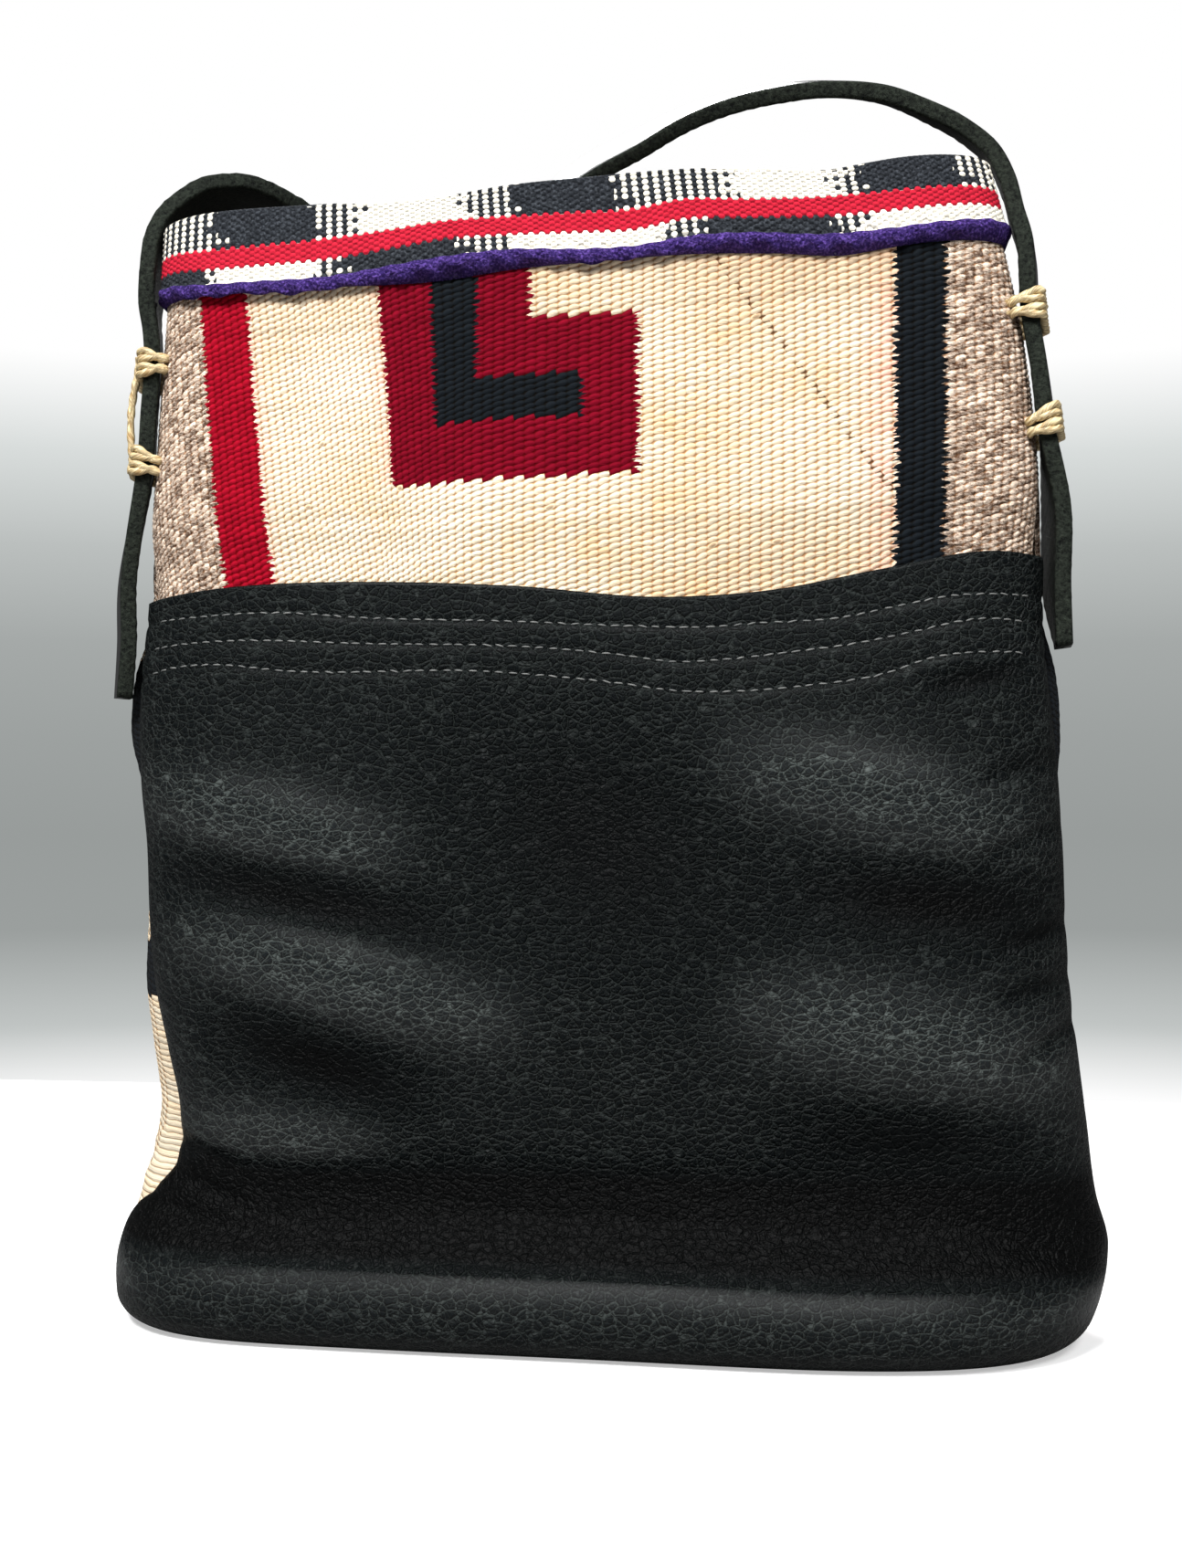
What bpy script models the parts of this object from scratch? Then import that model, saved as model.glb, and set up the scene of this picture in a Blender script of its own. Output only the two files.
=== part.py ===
"""A soft upright handbag: tapestry weave above, black leather below, and one leather strap.

The bag stands on its bottom with its front towards -Y. The walls are lofts between the outlines
of the bag at each height, drawn as half outlines for the front and for the back. The strap is
a flat strip carried along one path, and the lashings are round cord. Sizes are in metres.
"""

import math

import bmesh
import bpy
import numpy as np

# The bag as a whole, at the middle of its front.
HEIGHT = 0.316
HALF_WIDTH = 0.130
FRONT_DEPTH = 0.028
BACK_DEPTH = 0.028
BOTTOM_ROUNDING = 0.008
MOUTH_TILT = 0.039
SEAM_BEHIND_MIDDLE = 0.008
SEAM_INSET = 0.15
SQUARENESS = 6
BEND_WEIGHT = 0.03
LEATHER_COLUMNS = 40
BAND_COLUMNS = 36
# Rows of the walls, as shares of the way from the rounded edge up to the leather's upper edge.
ROW_SHARES = (0.06, 0.10, 0.14, 0.18, 0.22, 0.28, 0.36, 0.46, 0.58, 0.72)

# Outlines of the bag as (share of the height, share of the size that they scale).
LEFT_OUTLINE = ((0.0, 1.03), (0.03, 1.04), (0.065, 1.035), (0.097, 1.0), (0.116, 0.95),
                (0.135, 0.908), (0.155, 0.892), (0.185, 0.889), (0.24, 0.913), (0.30, 0.943),
                (0.37, 0.964), (0.46, 0.984), (0.66, 0.986), (0.80, 0.967), (0.92, 0.946), (1.03, 0.93))
RIGHT_OUTLINE = ((0.0, 1.03), (0.045, 1.075), (0.085, 1.09), (0.125, 1.065), (0.19, 1.045),
                 (0.30, 1.012), (0.48, 0.985), (0.60, 0.956), (0.68, 0.956), (0.74, 0.950),
                 (0.80, 0.938), (0.873, 0.914), (0.93, 0.885), (0.985, 0.850), (1.03, 0.822))
FRONT_OUTLINE = ((0.0, 1.36), (0.04, 1.37), (0.07, 1.22), (0.10, 0.93), (0.14, 0.80),
                 (0.19, 0.88), (0.285, 1.0), (0.45, 0.98), (0.64, 0.88), (0.80, 0.72),
                 (0.92, 0.64), (1.03, 0.61))
BACK_OUTLINE = ((0.0, 1.0), (0.06, 1.04), (0.20, 1.0), (0.45, 0.98), (0.64, 0.88),
                (0.80, 0.74), (0.92, 0.65), (1.03, 0.61))

# Where the cloth bellies out beside the leather: (share of the height, how far the side seam
# stands forward of the middle, how far the cloth behind it swells out to the side).
LEFT_BELLY = ((0.0, 0.003, 0.0), (0.09, 0.006, 0.001), (0.125, 0.010, 0.011), (0.15, 0.010, 0.0130),
              (0.18, 0.010, 0.0119), (0.24, 0.010, 0.0106), (0.30, 0.010, 0.0085),
              (0.36, 0.0085, 0.0050), (0.43, 0.004, 0.0020), (0.53, 0.005, 0.0085),
              (0.58, 0.004, 0.0070), (0.64, 0.0, 0.0), (0.68, 0.0, 0.0), (1.03, 0.0, 0.0))
RIGHT_BELLY = ((0.0, 0.0, 0.0), (0.41, 0.0, 0.0), (0.45, 0.0, 0.0), (0.52, 0.004, 0.0045),
               (0.58, 0.004, 0.005), (0.64, 0.0, 0.0), (0.68, 0.0, 0.0), (1.03, 0.0, 0.0))

# Soft swellings of the front: (x, height, reach across, reach up, how far they stand out).
SWELLINGS = ((-0.105, 0.152, 0.022, 0.022, 0.0016), (-0.062, 0.092, 0.030, 0.016, 0.0014),
             (0.082, 0.155, 0.028, 0.020, 0.0016), (0.086, 0.082, 0.032, 0.018, 0.0014),
             (0.000, 0.125, 0.050, 0.035, -0.0012), (0.075, 0.010, 0.055, 0.028, 0.0035),
             (-0.085, 0.010, 0.040, 0.028, -0.0022))

# How far the mouth's edge lies below or above a straight line: (x, height).
MOUTH_DIPS = ((-0.130, 0.0), (-0.118, 0.0), (-0.076, -0.0016), (-0.040, -0.0023), (-0.021, -0.0006),
              (0.000, -0.0001), (0.028, 0.0), (0.047, -0.0013), (0.066, -0.0030), (0.075, -0.0019),
              (0.085, -0.0006), (0.103, 0.0006), (0.130, 0.0006))

# The cloth and the leather.
CLOTH_THICKNESS = 0.0035
LEATHER_THICKNESS = 0.0022
GAP = 0.0003
RIB_DEPTH = 0.0005
FRONT_RIBS = 42
BACK_RIBS = 28
LAP = 0.028
EASE_ABOVE_LAP = 0.025
LEATHER_TOP = ((-0.125, 0.2026), (-0.099, 0.2050), (-0.019, 0.2042), (0.022, 0.2008),
               (0.050, 0.2022), (0.079, 0.2075), (0.109, 0.2127), (0.125, 0.2122))

# The trim folded over the mouth.
BAND_DEPTH = 0.0235
BAND_INSIDE = 0.020
BAND_THICKNESS = 0.0016
BAND_ROLL = 0.0007
BAND_ROLL_HEIGHT = 0.004

# The strap and its lashings.
STRAP_WIDTH = 0.019
STRAP_THICKNESS = 0.0045
STRAP_CHAMFER = 0.0007
STRAP_STATIONS = 150
STRAP_CLEARANCE = 0.0007
STRAP_RISE = 0.035
LOOP_RISE = 0.0176
HANG_CLEARANCE = 0.034
BEHIND_BACK = 0.003
HANGING_LEGS = (0.037, 0.089)
LEFT_TURN = 20
RIGHT_TURN = 12
CORD_RADIUS = 0.001
STRAND_PITCH = 0.0024
LASHING_STRANDS = 4
LASHING_RISE = 0.0003
# Distances below the mouth's ends: of the upper lashing, the lower lashing and the strap's end.
LEFT_LASHINGS = (0.040, 0.0675)
RIGHT_LASHINGS = (0.0415, 0.0725)
LEFT_TAIL = 0.135
RIGHT_TAIL = 0.133

# The woven pattern. Its left stripe and the hook's left edge lean, and are given at the top.
PATTERN_TOP = 0.286
PATTERN_LEAN = 0.113
RED_STRIPE = (-0.108, -0.0945)
DARK_STRIPE = (0.084, 0.097)
HOOK = ((-0.0565, 0.0145), (0.234, 0.278))
HOOK_ARM_RIGHT = -0.015
CHARCOAL_LEG = (-0.043, -0.030)
CHARCOAL_BAR = ((-0.043, -0.0005), (0.249, 0.262))
BACK_BARS = ((0.148, 0.192), (0.095, 0.111))
BACK_BARS_FROM = 0.070
BACK_HEATHER_FROM = (0.098, 0.205)
BACK_FOOT_STRIPE = 0.014

CREAM, RED, CHARCOAL, HEATHER = range(4)
CLOTH_COLOURS = ((0.75, 0.62, 0.44), (0.40, 0.008, 0.03), (0.02, 0.028, 0.038), (0.38, 0.29, 0.24))
PURPLE = (0.07, 0.03, 0.21)
LEATHER_COLOUR = (0.018, 0.021, 0.024)
STRAP_COLOUR = (0.028, 0.031, 0.026)
CORD_COLOUR = (0.66, 0.51, 0.28)


def clear_scene():
    for old in list(bpy.data.objects):
        bpy.data.objects.remove(old, do_unlink=True)


def material(name, colour, roughness):
    made = bpy.data.materials.new(name)
    made.use_nodes = True
    shader = made.node_tree.nodes["Principled BSDF"]
    shader.inputs["Base Color"].default_value = (*colour, 1)
    shader.inputs["Roughness"].default_value = roughness
    return made


def smooth_through(points, at):
    """Values read from a curve without corners through (place, value) points."""
    place, value = np.array(points, float).T
    slope = np.gradient(value, place)
    at = np.clip(at, place[0], place[-1])
    low = np.clip(np.searchsorted(place, at) - 1, 0, len(place) - 2)
    span = place[low + 1] - place[low]
    f = (at - place[low]) / span
    from_low = (1 + 2 * f) * (1 - f) ** 2 * value[low] + f * (1 - f) ** 2 * span * slope[low]
    from_high = f * f * (3 - 2 * f) * value[low + 1] - f * f * (1 - f) * span * slope[low + 1]
    return from_low + from_high


def rounding(z):
    """How far the bottom's rounded edge draws every outline in, at height z."""
    short = np.clip(BOTTOM_ROUNDING - z, 0, BOTTOM_ROUNDING)
    return BOTTOM_ROUNDING - np.sqrt(BOTTOM_ROUNDING**2 - short**2)


def half_widths(z):
    """Distances from the middle plane to the left edge and to the right edge at height z."""
    share = z / HEIGHT
    left = HALF_WIDTH * smooth_through(LEFT_OUTLINE, share) - rounding(z)
    right = HALF_WIDTH * smooth_through(RIGHT_OUTLINE, share) - rounding(z)
    return left, right


def depth(side, z):
    """Distance from the side seams' plane to the middle of the front (-1) or of the back (1)."""
    outline, scale = (FRONT_OUTLINE, FRONT_DEPTH) if side < 0 else (BACK_OUTLINE, BACK_DEPTH)
    return scale * smooth_through(outline, z / HEIGHT) - rounding(z)


def swelling(x, z):
    total = np.zeros(np.broadcast(x, z).shape)
    for at_x, at_z, reach_x, reach_z, out in SWELLINGS:
        total += out * np.exp(-(((x - at_x) / reach_x) ** 2) - ((z - at_z) / reach_z) ** 2)
    return total


def belly(share, z):
    """How far the nearer side seam stands forward, and how far the cloth beside it swells out."""
    near = []
    for place in (1, 2):
        left = smooth_through([(row[0], row[place]) for row in LEFT_BELLY], z / HEIGHT)
        right = smooth_through([(row[0], row[place]) for row in RIGHT_BELLY], z / HEIGHT)
        near.append(np.where(share < 0, left, right))
    return near


def wall(side, t, z):
    """Points of the bag's outer face: t runs from -1 at the left seam to 1 at the right seam.

    x is a sine of t between the two edges. y runs from the seam to the wall's depth with
    sqrt(1 - |x share| ^ squareness). The back's x swells with its root x (1 - root)^2, whose
    highest value is 4 / 27.
    """
    left, right = half_widths(z)
    share = np.sin(math.pi / 2 * t)
    root = np.sqrt(np.clip(1 - np.abs(share) ** SQUARENESS, 0, 1))
    forward, swell = belly(share, z)
    x = (right - left) / 2 + (right + left) / 2 * share
    y = depth(side, z) * root - side * forward * (1 - root)
    if side < 0:
        y = y + swelling(x, z) * (1 - share**2)
    else:
        x = x + np.sign(share) * swell * 27 / 4 * root * (1 - root) ** 2
    return np.stack([x, side * (y + GAP / 2), z + 0 * x], axis=-1)


def seam_line(side, t):
    """Points along the bottom seam, which bows towards the back between the two side seams."""
    left, right = half_widths(np.zeros_like(t))
    share = np.sin(math.pi / 2 * t)
    x = (right - left) / 2 + (right + left) / 2 * share * (1 - SEAM_INSET)
    forward, _ = belly(share, 0 * t)
    y = SEAM_BEHIND_MIDDLE * (1 - share**2) - forward * share**2
    return np.stack([x, y + side * GAP / 2, 0 * x], axis=-1)


def across(columns):
    """Values of t whose columns lie closer together where the side of the bag turns.

    Each step holds as much of (length of cloth + BEND_WEIGHT x angle turned) as the next.
    """
    fine = np.linspace(-1, 1, 4001)
    x, y, _ = wall(-1, fine, np.full_like(fine, HEIGHT)).T
    along = np.hypot(np.diff(x), np.diff(y))
    heading = np.unwrap(np.arctan2(np.diff(y), np.diff(x)))
    turned = np.abs(np.diff(heading, prepend=heading[0]))
    measure = np.concatenate([[0], np.cumsum(along + BEND_WEIGHT * turned)])
    return np.interp(np.linspace(0, measure[-1], columns + 1), measure, fine)


def outward(side, t, z):
    """Unit normals of the outer face, level in the side seams' plane so that the edges meet."""
    step = 1e-5
    along = wall(side, np.clip(t + step, -1, 1), z) - wall(side, np.clip(t - step, -1, 1), z)
    low, high = np.maximum(z - step, 0), z + step
    up = wall(side, t, high) - wall(side, t, low)
    normal = np.cross(along, up) * -side
    normal[np.abs(t) == 1, 1] = 0
    on_floor = z < step
    normal[on_floor] = (0, 0, -1)
    return normal / np.linalg.norm(normal, axis=-1, keepdims=True)


def mouth(x):
    return HEIGHT + MOUTH_TILT * x + smooth_through(MOUTH_DIPS, x)


def cloth_top(side, t):
    """Heights of the cloth's upper edge, which the trim covers."""
    return mouth(wall(side, t, np.full_like(t, HEIGHT))[:, 0]) - BAND_THICKNESS - GAP


def loft(name, rings, colour, capped=True, closed=False):
    """A solid through rings of points. A capped one is closed by strips across its end rings."""
    count, size = rings.shape[:2]
    mesh = bmesh.new()
    verts = [mesh.verts.new(point) for point in rings.reshape(-1, 3)]
    for i in range(count if closed else count - 1):
        here, there = i * size, (i + 1) % count * size
        for j in range(size):
            after = (j + 1) % size
            mesh.faces.new([verts[k] for k in (here + j, here + after, there + after, there + j)])
    for start in (0, (count - 1) * size) if capped else ():
        for j in range(size // 2 - 1):
            ring = (j, j + 1, size - 2 - j, size - 1 - j)
            mesh.faces.new([verts[start + k] for k in ring])
    bmesh.ops.recalc_face_normals(mesh, faces=mesh.faces)
    return finished(name, mesh, colour)


def finished(name, mesh, colour):
    data = bpy.data.meshes.new(name)
    mesh.to_mesh(data)
    mesh.free()
    data.shade_smooth()
    data.set_sharp_from_angle(angle=math.radians(40))
    made = bpy.data.objects.new(name, data)
    data.materials.append(colour)
    bag.objects.link(made)
    return made


def shell(name, face, normals, thickness, colour, relief=0.0):
    """A wall between a grid of points (rows, columns), drawn in by its relief, and one within it."""
    outer = face - relief * normals
    inner = face - thickness * normals
    rings = np.concatenate([outer, inner[::-1]]).transpose(1, 0, 2)
    return loft(name, rings, colour)


def footed(side, t, z):
    """Outer points and normals from the bottom seam, across the bottom and up the wall's rows."""
    steps = 3
    rim = wall(side, t, np.zeros_like(t))
    seam = seam_line(side, t)
    floor = np.array([seam + (rim - seam) * k / steps for k in range(steps)])
    down = np.zeros_like(floor)
    down[..., 2] = -1
    columns = np.broadcast_to(t, z.shape)
    points = np.concatenate([floor, wall(side, columns, z)])
    return points, np.concatenate([down, outward(side, columns, z)])


def edge_rows():
    """Heights of the rows round the bottom's rounded edge, evenly spaced along its quarter circle."""
    return BOTTOM_ROUNDING * (1 - np.cos(np.linspace(0, math.pi / 2, 5)))


def leather_edge(t):
    """Heights of the leather's upper edge."""
    return smooth_through(LEATHER_TOP, wall(-1, t, np.full_like(t, LEATHER_TOP[0][1]))[:, 0])


def rows_to_leather_edge(t):
    """Heights up to the leather's edge. Front and back share them, so that they meet at the sides."""
    edge = leather_edge(t)
    round_foot = np.repeat(edge_rows()[:, None], len(t), 1)
    wall_rows = BOTTOM_ROUNDING + np.array(ROW_SHARES)[:, None] * (edge - BOTTOM_ROUNDING)
    return np.concatenate([round_foot, wall_rows, [edge - LAP, edge]])


def rows_above(edge, top, count):
    """Heights from the leather's edge to the cloth's upper edge."""
    return edge + np.linspace(0, 1, count + 1)[:, None] * (top - edge)


def ribs(points):
    """The weave's ridges: every second column of the cloth's face lies deeper by a rib."""
    columns = np.arange(points.shape[1])
    above_foot = points[..., 2] > BOTTOM_ROUNDING
    return (RIB_DEPTH * (columns % 2) * above_foot)[..., None]


def front_leather():
    t = across(LEATHER_COLUMNS)
    points, normals = footed(-1, t, rows_to_leather_edge(t))
    colour = material("pebbled leather", LEATHER_COLOUR, 0.5)
    shell("front_leather", points, normals, LEATHER_THICKNESS, colour)


def under_leather(x, z):
    """How far the cloth is drawn in, so that it runs behind the leather and comes out above it."""
    above = np.clip((z - smooth_through(LEATHER_TOP, x)) / EASE_ABOVE_LAP, 0, 1)
    return (LEATHER_THICKNESS + GAP) * (1 - above * above * (3 - 2 * above))


def paint(cloth, pattern):
    """Gives each face of the cloth the colour that the pattern has at its middle."""
    for index, rgb in enumerate(CLOTH_COLOURS[1:], 1):
        cloth.data.materials.append(material(f"wool {index}", rgb, 0.9))
    for face in cloth.data.polygons:
        face.material_index = pattern(face.center.x, face.center.z)


def between(value, ends):
    return ends[0] < value < ends[1]


def front_pattern(x, z):
    """A stripe on each side and, on the cream field, a squared hook that hangs from the band."""
    lean = (PATTERN_TOP - z) * PATTERN_LEAN
    if x < RED_STRIPE[0] + lean or x > DARK_STRIPE[1]:
        return HEATHER
    if x < RED_STRIPE[1] + lean:
        return RED
    if x > DARK_STRIPE[0]:
        return CHARCOAL
    on_leg = between(x, CHARCOAL_LEG) and z > CHARCOAL_BAR[1][0]
    if on_leg or between(x, CHARCOAL_BAR[0]) and between(z, CHARCOAL_BAR[1]):
        return CHARCOAL
    foot, step = HOOK[1]
    right = HOOK[0][1] if z < step else HOOK_ARM_RIGHT
    return RED if between(x, (HOOK[0][0] + lean, right)) and z > foot else CREAM


def back_pattern(x, z):
    """Dark bars that run in from both sides of a cream field, and a red stripe at the foot."""
    if z < BACK_FOOT_STRIPE:
        return RED
    if abs(x) > BACK_BARS_FROM and any(between(z, bar) for bar in BACK_BARS):
        return CHARCOAL
    from_x, from_z = BACK_HEATHER_FROM
    return HEATHER if z > from_z and abs(x) > from_x else CREAM


def front_rug():
    t = across(2 * FRONT_RIBS)
    edge = leather_edge(t)
    z = np.concatenate([[edge - LAP], rows_above(edge, cloth_top(-1, t), 8)])
    columns = np.broadcast_to(t, z.shape)
    normals = outward(-1, columns, z)
    points = wall(-1, columns, z)
    points = points - normals * under_leather(points[..., 0], z)[..., None]
    colour = material("wool cream", CLOTH_COLOURS[CREAM], 0.9)
    cloth = shell("front_rug", points, normals, CLOTH_THICKNESS, colour, ribs(points))
    paint(cloth, front_pattern)


def back_rug():
    t = across(2 * BACK_RIBS)
    upper = rows_above(leather_edge(t), cloth_top(1, t), 6)
    points, normals = footed(1, t, np.concatenate([rows_to_leather_edge(t), upper[1:]]))
    colour = material("wool cream", CLOTH_COLOURS[CREAM], 0.9)
    cloth = shell("back_rug", points, normals, CLOTH_THICKNESS, colour, ribs(points))
    paint(cloth, back_pattern)


def mouth_band():
    """The trim: (distance out from the cloth's face, distance below the mouth) round its section."""
    face = GAP + BAND_THICKNESS
    back = -CLOTH_THICKNESS - GAP
    lining = back - BAND_THICKNESS
    soft = BAND_THICKNESS / 2
    roll_top = BAND_DEPTH - BAND_ROLL_HEIGHT
    section = [(GAP, BAND_DEPTH), (face, BAND_DEPTH), (face + BAND_ROLL, (roll_top + BAND_DEPTH) / 2),
               (face, roll_top), (face, BAND_DEPTH / 2), (face, soft),
               (GAP, 0), (back, 0), (lining, soft), (lining, BAND_INSIDE / 2), (lining, BAND_INSIDE),
               (back, BAND_INSIDE), (back, BAND_INSIDE / 2), (back, BAND_THICKNESS),
               (GAP, BAND_THICKNESS), (GAP, BAND_DEPTH / 2)]
    t_front = across(BAND_COLUMNS)
    rings = []
    for side, t in ((-1, t_front), (1, t_front[::-1])):
        top = cloth_top(side, t) + BAND_THICKNESS + GAP
        parts = []
        for out, below in section:
            z = top - below
            parts.append(wall(side, t, z) + out * outward(side, t, z))
        rings.append(np.array(parts).transpose(1, 0, 2))
    colour = material("trim", CLOTH_COLOURS[CREAM], 0.85)
    band = loft("mouth_band", np.concatenate(rings), colour, capped=False, closed=True)
    stripe_band(band)


def stripe_band(band):
    """A purple roll along the foot of the trim."""
    band.data.materials.append(material("trim purple", PURPLE, 0.85))
    for face in band.data.polygons:
        below = mouth(face.center.x) - face.center.z
        if below > BAND_DEPTH - BAND_ROLL_HEIGHT:
            face.material_index = 1


def cloth_at(side, z, y):
    """Distances from the middle plane to the bag's face at its left (-1) or right (1), at z and y."""
    t = side * np.linspace(0.3, 1, 500)
    level = np.full_like(t, z)
    edge = np.concatenate([wall(-1, t, level), wall(1, t[::-1], level)])
    return np.interp(y, edge[:, 1], side * edge[:, 0])


def strap_frame(side, z, clear=0.0):
    """Where the strap lies against the bag's side: its middle, and its directions across and out.

    It is turned a little, so that its back edge stands farther out than its front edge.
    """
    turn = math.radians(LEFT_TURN if side < 0 else RIGHT_TURN)
    w = np.linspace(-STRAP_WIDTH / 2, STRAP_WIDTH / 2, 21)
    h = STRAP_THICKNESS / 2
    face = cloth_at(side, z, w * math.cos(turn) + h * math.sin(turn))
    x = np.max(face - w * math.sin(turn)) + h * math.cos(turn) + STRAP_CLEARANCE + clear
    across_it = np.array([side * math.sin(turn), math.cos(turn)])
    out = np.array([side * math.cos(turn), -math.sin(turn)])
    return np.array([side * x, 0.0]), across_it, out


def strap_on_side(side, z, clear=0.0):
    return (strap_frame(side, z, clear)[0][0], 0.0, z, LEFT_TURN if side < 0 else RIGHT_TURN)


def strap_route():
    """The strap's middle line, from the left tail over the bag, down behind it and up to the right.

    The fourth number of a point turns the strip about its own line, in degrees.
    """
    hang = BACK_DEPTH * max(share for _, share in BACK_OUTLINE) + BEHIND_BACK + STRAP_WIDTH / 2
    left_mouth, right_mouth = mouth(-HALF_WIDTH), mouth(HALF_WIDTH)
    arch, loop = HEIGHT + STRAP_RISE, left_mouth + LOOP_RISE
    left_x, right_x = -half_widths(HEIGHT)[0], half_widths(HEIGHT)[1]
    leg_left, leg_right = [left_x + place for place in HANGING_LEGS]
    low = HANG_CLEARANCE + STRAP_THICKNESS / 2
    left_tail, left_upper, left_lower = [left_mouth - d for d in (LEFT_TAIL, *LEFT_LASHINGS)]
    right_tail, right_upper, right_lower = [right_mouth - d for d in (RIGHT_TAIL, *RIGHT_LASHINGS)]
    return [
        strap_on_side(-1, left_tail),
        strap_on_side(-1, left_tail + 0.016, 0.0008),
        strap_on_side(-1, (left_tail + left_lower) / 2, 0.0028),
        strap_on_side(-1, left_lower),
        strap_on_side(-1, (left_upper + left_lower) / 2),
        strap_on_side(-1, left_upper),
        (left_x - 0.0066, 0.0, left_mouth - 0.0310, 17),
        (left_x - 0.0076, 0.0004, left_mouth - 0.0225, 14),
        (left_x - 0.0070, 0.0014, left_mouth - 0.0120, 10),
        (left_x - 0.0060, 0.0034, left_mouth - 0.0030, 7),
        (left_x - 0.0033, 0.0060, left_mouth + 0.0044, 5),
        (left_x + 0.0013, 0.0090, left_mouth + 0.0103, 4),
        (left_x + 0.0062, 0.0120, loop - 0.0030, 4),
        (left_x + 0.0117, 0.0153, loop - 0.0008, 2),
        (left_x + 0.0168, 0.0188, loop, 2),
        (left_x + 0.0235, 0.0252, loop - 0.0010, 0),
        (left_x + 0.0300, 0.0330, loop - 0.0040, 0),
        (leg_left - 0.0012, 0.0392, left_mouth + 0.0040, 0),
        (leg_left, hang, left_mouth - 0.012, 0),
        (leg_left, hang, left_mouth - 0.050, 0),
        (leg_left, hang, HEIGHT * 0.55, 0),
        (leg_left + 0.001, hang, HANG_CLEARANCE + 0.055, 0),
        (leg_left + 0.009, hang, HANG_CLEARANCE + 0.012, 0),
        ((leg_left + leg_right) / 2, hang, low, 0),
        (leg_right - 0.009, hang, HANG_CLEARANCE + 0.012, 0),
        (leg_right - 0.001, hang, HANG_CLEARANCE + 0.055, 0),
        (leg_right, hang, HEIGHT * 0.55, 0),
        (leg_right + 0.001, hang, HEIGHT - 0.045, 6),
        (leg_right + 0.005, hang, HEIGHT - 0.006, 16),
        (leg_right + 0.014, 0.0405, arch - 0.022, 30),
        (leg_right + 0.027, 0.0377, arch - 0.0129, 36),
        (leg_right + 0.044, 0.0327, arch - 0.0065, 36),
        (leg_right + 0.059, 0.026, arch - 0.0022, 33),
        (leg_right + 0.075, 0.0207, arch, 28),
        (right_x - 0.0496, 0.0174, arch + 0.0007, 26),
        (right_x - 0.0376, 0.0142, arch - 0.0010, 24),
        (right_x - 0.0259, 0.0114, arch - 0.0045, 21),
        (right_x - 0.0152, 0.0093, arch - 0.0102, 18),
        (right_x - 0.0057, 0.0079, right_mouth + 0.0131, 16),
        (right_x + 0.0025, 0.0068, right_mouth + 0.0052, 14),
        (right_x + 0.0068, 0.0051, right_mouth - 0.0043, RIGHT_TURN),
        (right_x + 0.0091, 0.0032, right_mouth - 0.0146, RIGHT_TURN),
        (right_x + 0.0112, 0.0014, right_mouth - 0.0240, RIGHT_TURN),
        strap_on_side(1, right_upper),
        strap_on_side(1, (right_upper + right_lower) / 2),
        strap_on_side(1, right_lower),
        strap_on_side(1, right_lower - 0.024, 0.0030),
        strap_on_side(1, right_tail + 0.016, 0.0024),
        strap_on_side(1, right_tail, 0.0014),
    ]


def smooth_path(route, count):
    """Points an even distance apart on a curve through the route, with no corner at its points."""
    route = np.array(route, float)
    chord = np.sqrt(np.linalg.norm(np.diff(route[:, :3], axis=0), axis=1))
    place = np.concatenate([[0], np.cumsum(chord)])
    fine = np.linspace(0, place[-1], 4000)
    curve = np.stack([smooth_through(np.c_[place, column], fine) for column in route.T], axis=-1)
    step = np.linalg.norm(np.diff(curve[:, :3], axis=0), axis=1)
    run = np.concatenate([[0], np.cumsum(step)])
    even = np.linspace(0, run[-1], count)
    return np.stack([np.interp(even, run, column) for column in curve.T], axis=-1)


def strap():
    """A flat strip with chamfered edges, its width along Y but for the turns of its route."""
    route = smooth_path(strap_route(), STRAP_STATIONS)
    path, turn = route[:, :3], np.radians(route[:, 3:])
    forward = np.gradient(path, axis=0)
    forward /= np.linalg.norm(forward, axis=1, keepdims=True)
    level = np.array([0.0, 1.0, 0.0]) - forward * forward[:, 1:2]
    level /= np.linalg.norm(level, axis=1, keepdims=True)
    wide = level * np.cos(turn) + np.cross(forward, level) * np.sin(turn)
    through = np.cross(forward, wide)
    w, h, c = STRAP_WIDTH / 2, STRAP_THICKNESS / 2, STRAP_CHAMFER
    section = [(-w, -h + c), (-w + c, -h), (w - c, -h), (w, -h + c),
               (w, h - c), (w - c, h), (-w + c, h), (-w, h - c)]
    rings = np.stack([path + a * wide + b * through for a, b in section], axis=1)
    loft("strap", rings, material("strap leather", STRAP_COLOUR, 0.45))


def clear_of_cloth(side, z, y):
    """Distance from the middle plane at which a cord just clears the slanting cloth, at z and y."""
    step = CORD_RADIUS / 10
    near = cloth_at(side, z, np.array([y - step, y, y + step]))
    slant = (near[2] - near[0]) / (2 * step)
    return near[1] + (CORD_RADIUS + 2 * GAP) * math.hypot(1, slant)


def strap_beside(side, z):
    """Where the middle line of the finished strap passes the left (-1) or right (1) side at z."""
    path = smooth_path(strap_route(), STRAP_STATIONS)
    run = path[(side * path[:, 0] > 0) & (np.abs(path[:, 1]) < GAP)]
    run = run[np.argsort(run[:, 2])]
    return np.array([np.interp(z, run[:, 2], run[:, 0]), 0.0])


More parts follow.
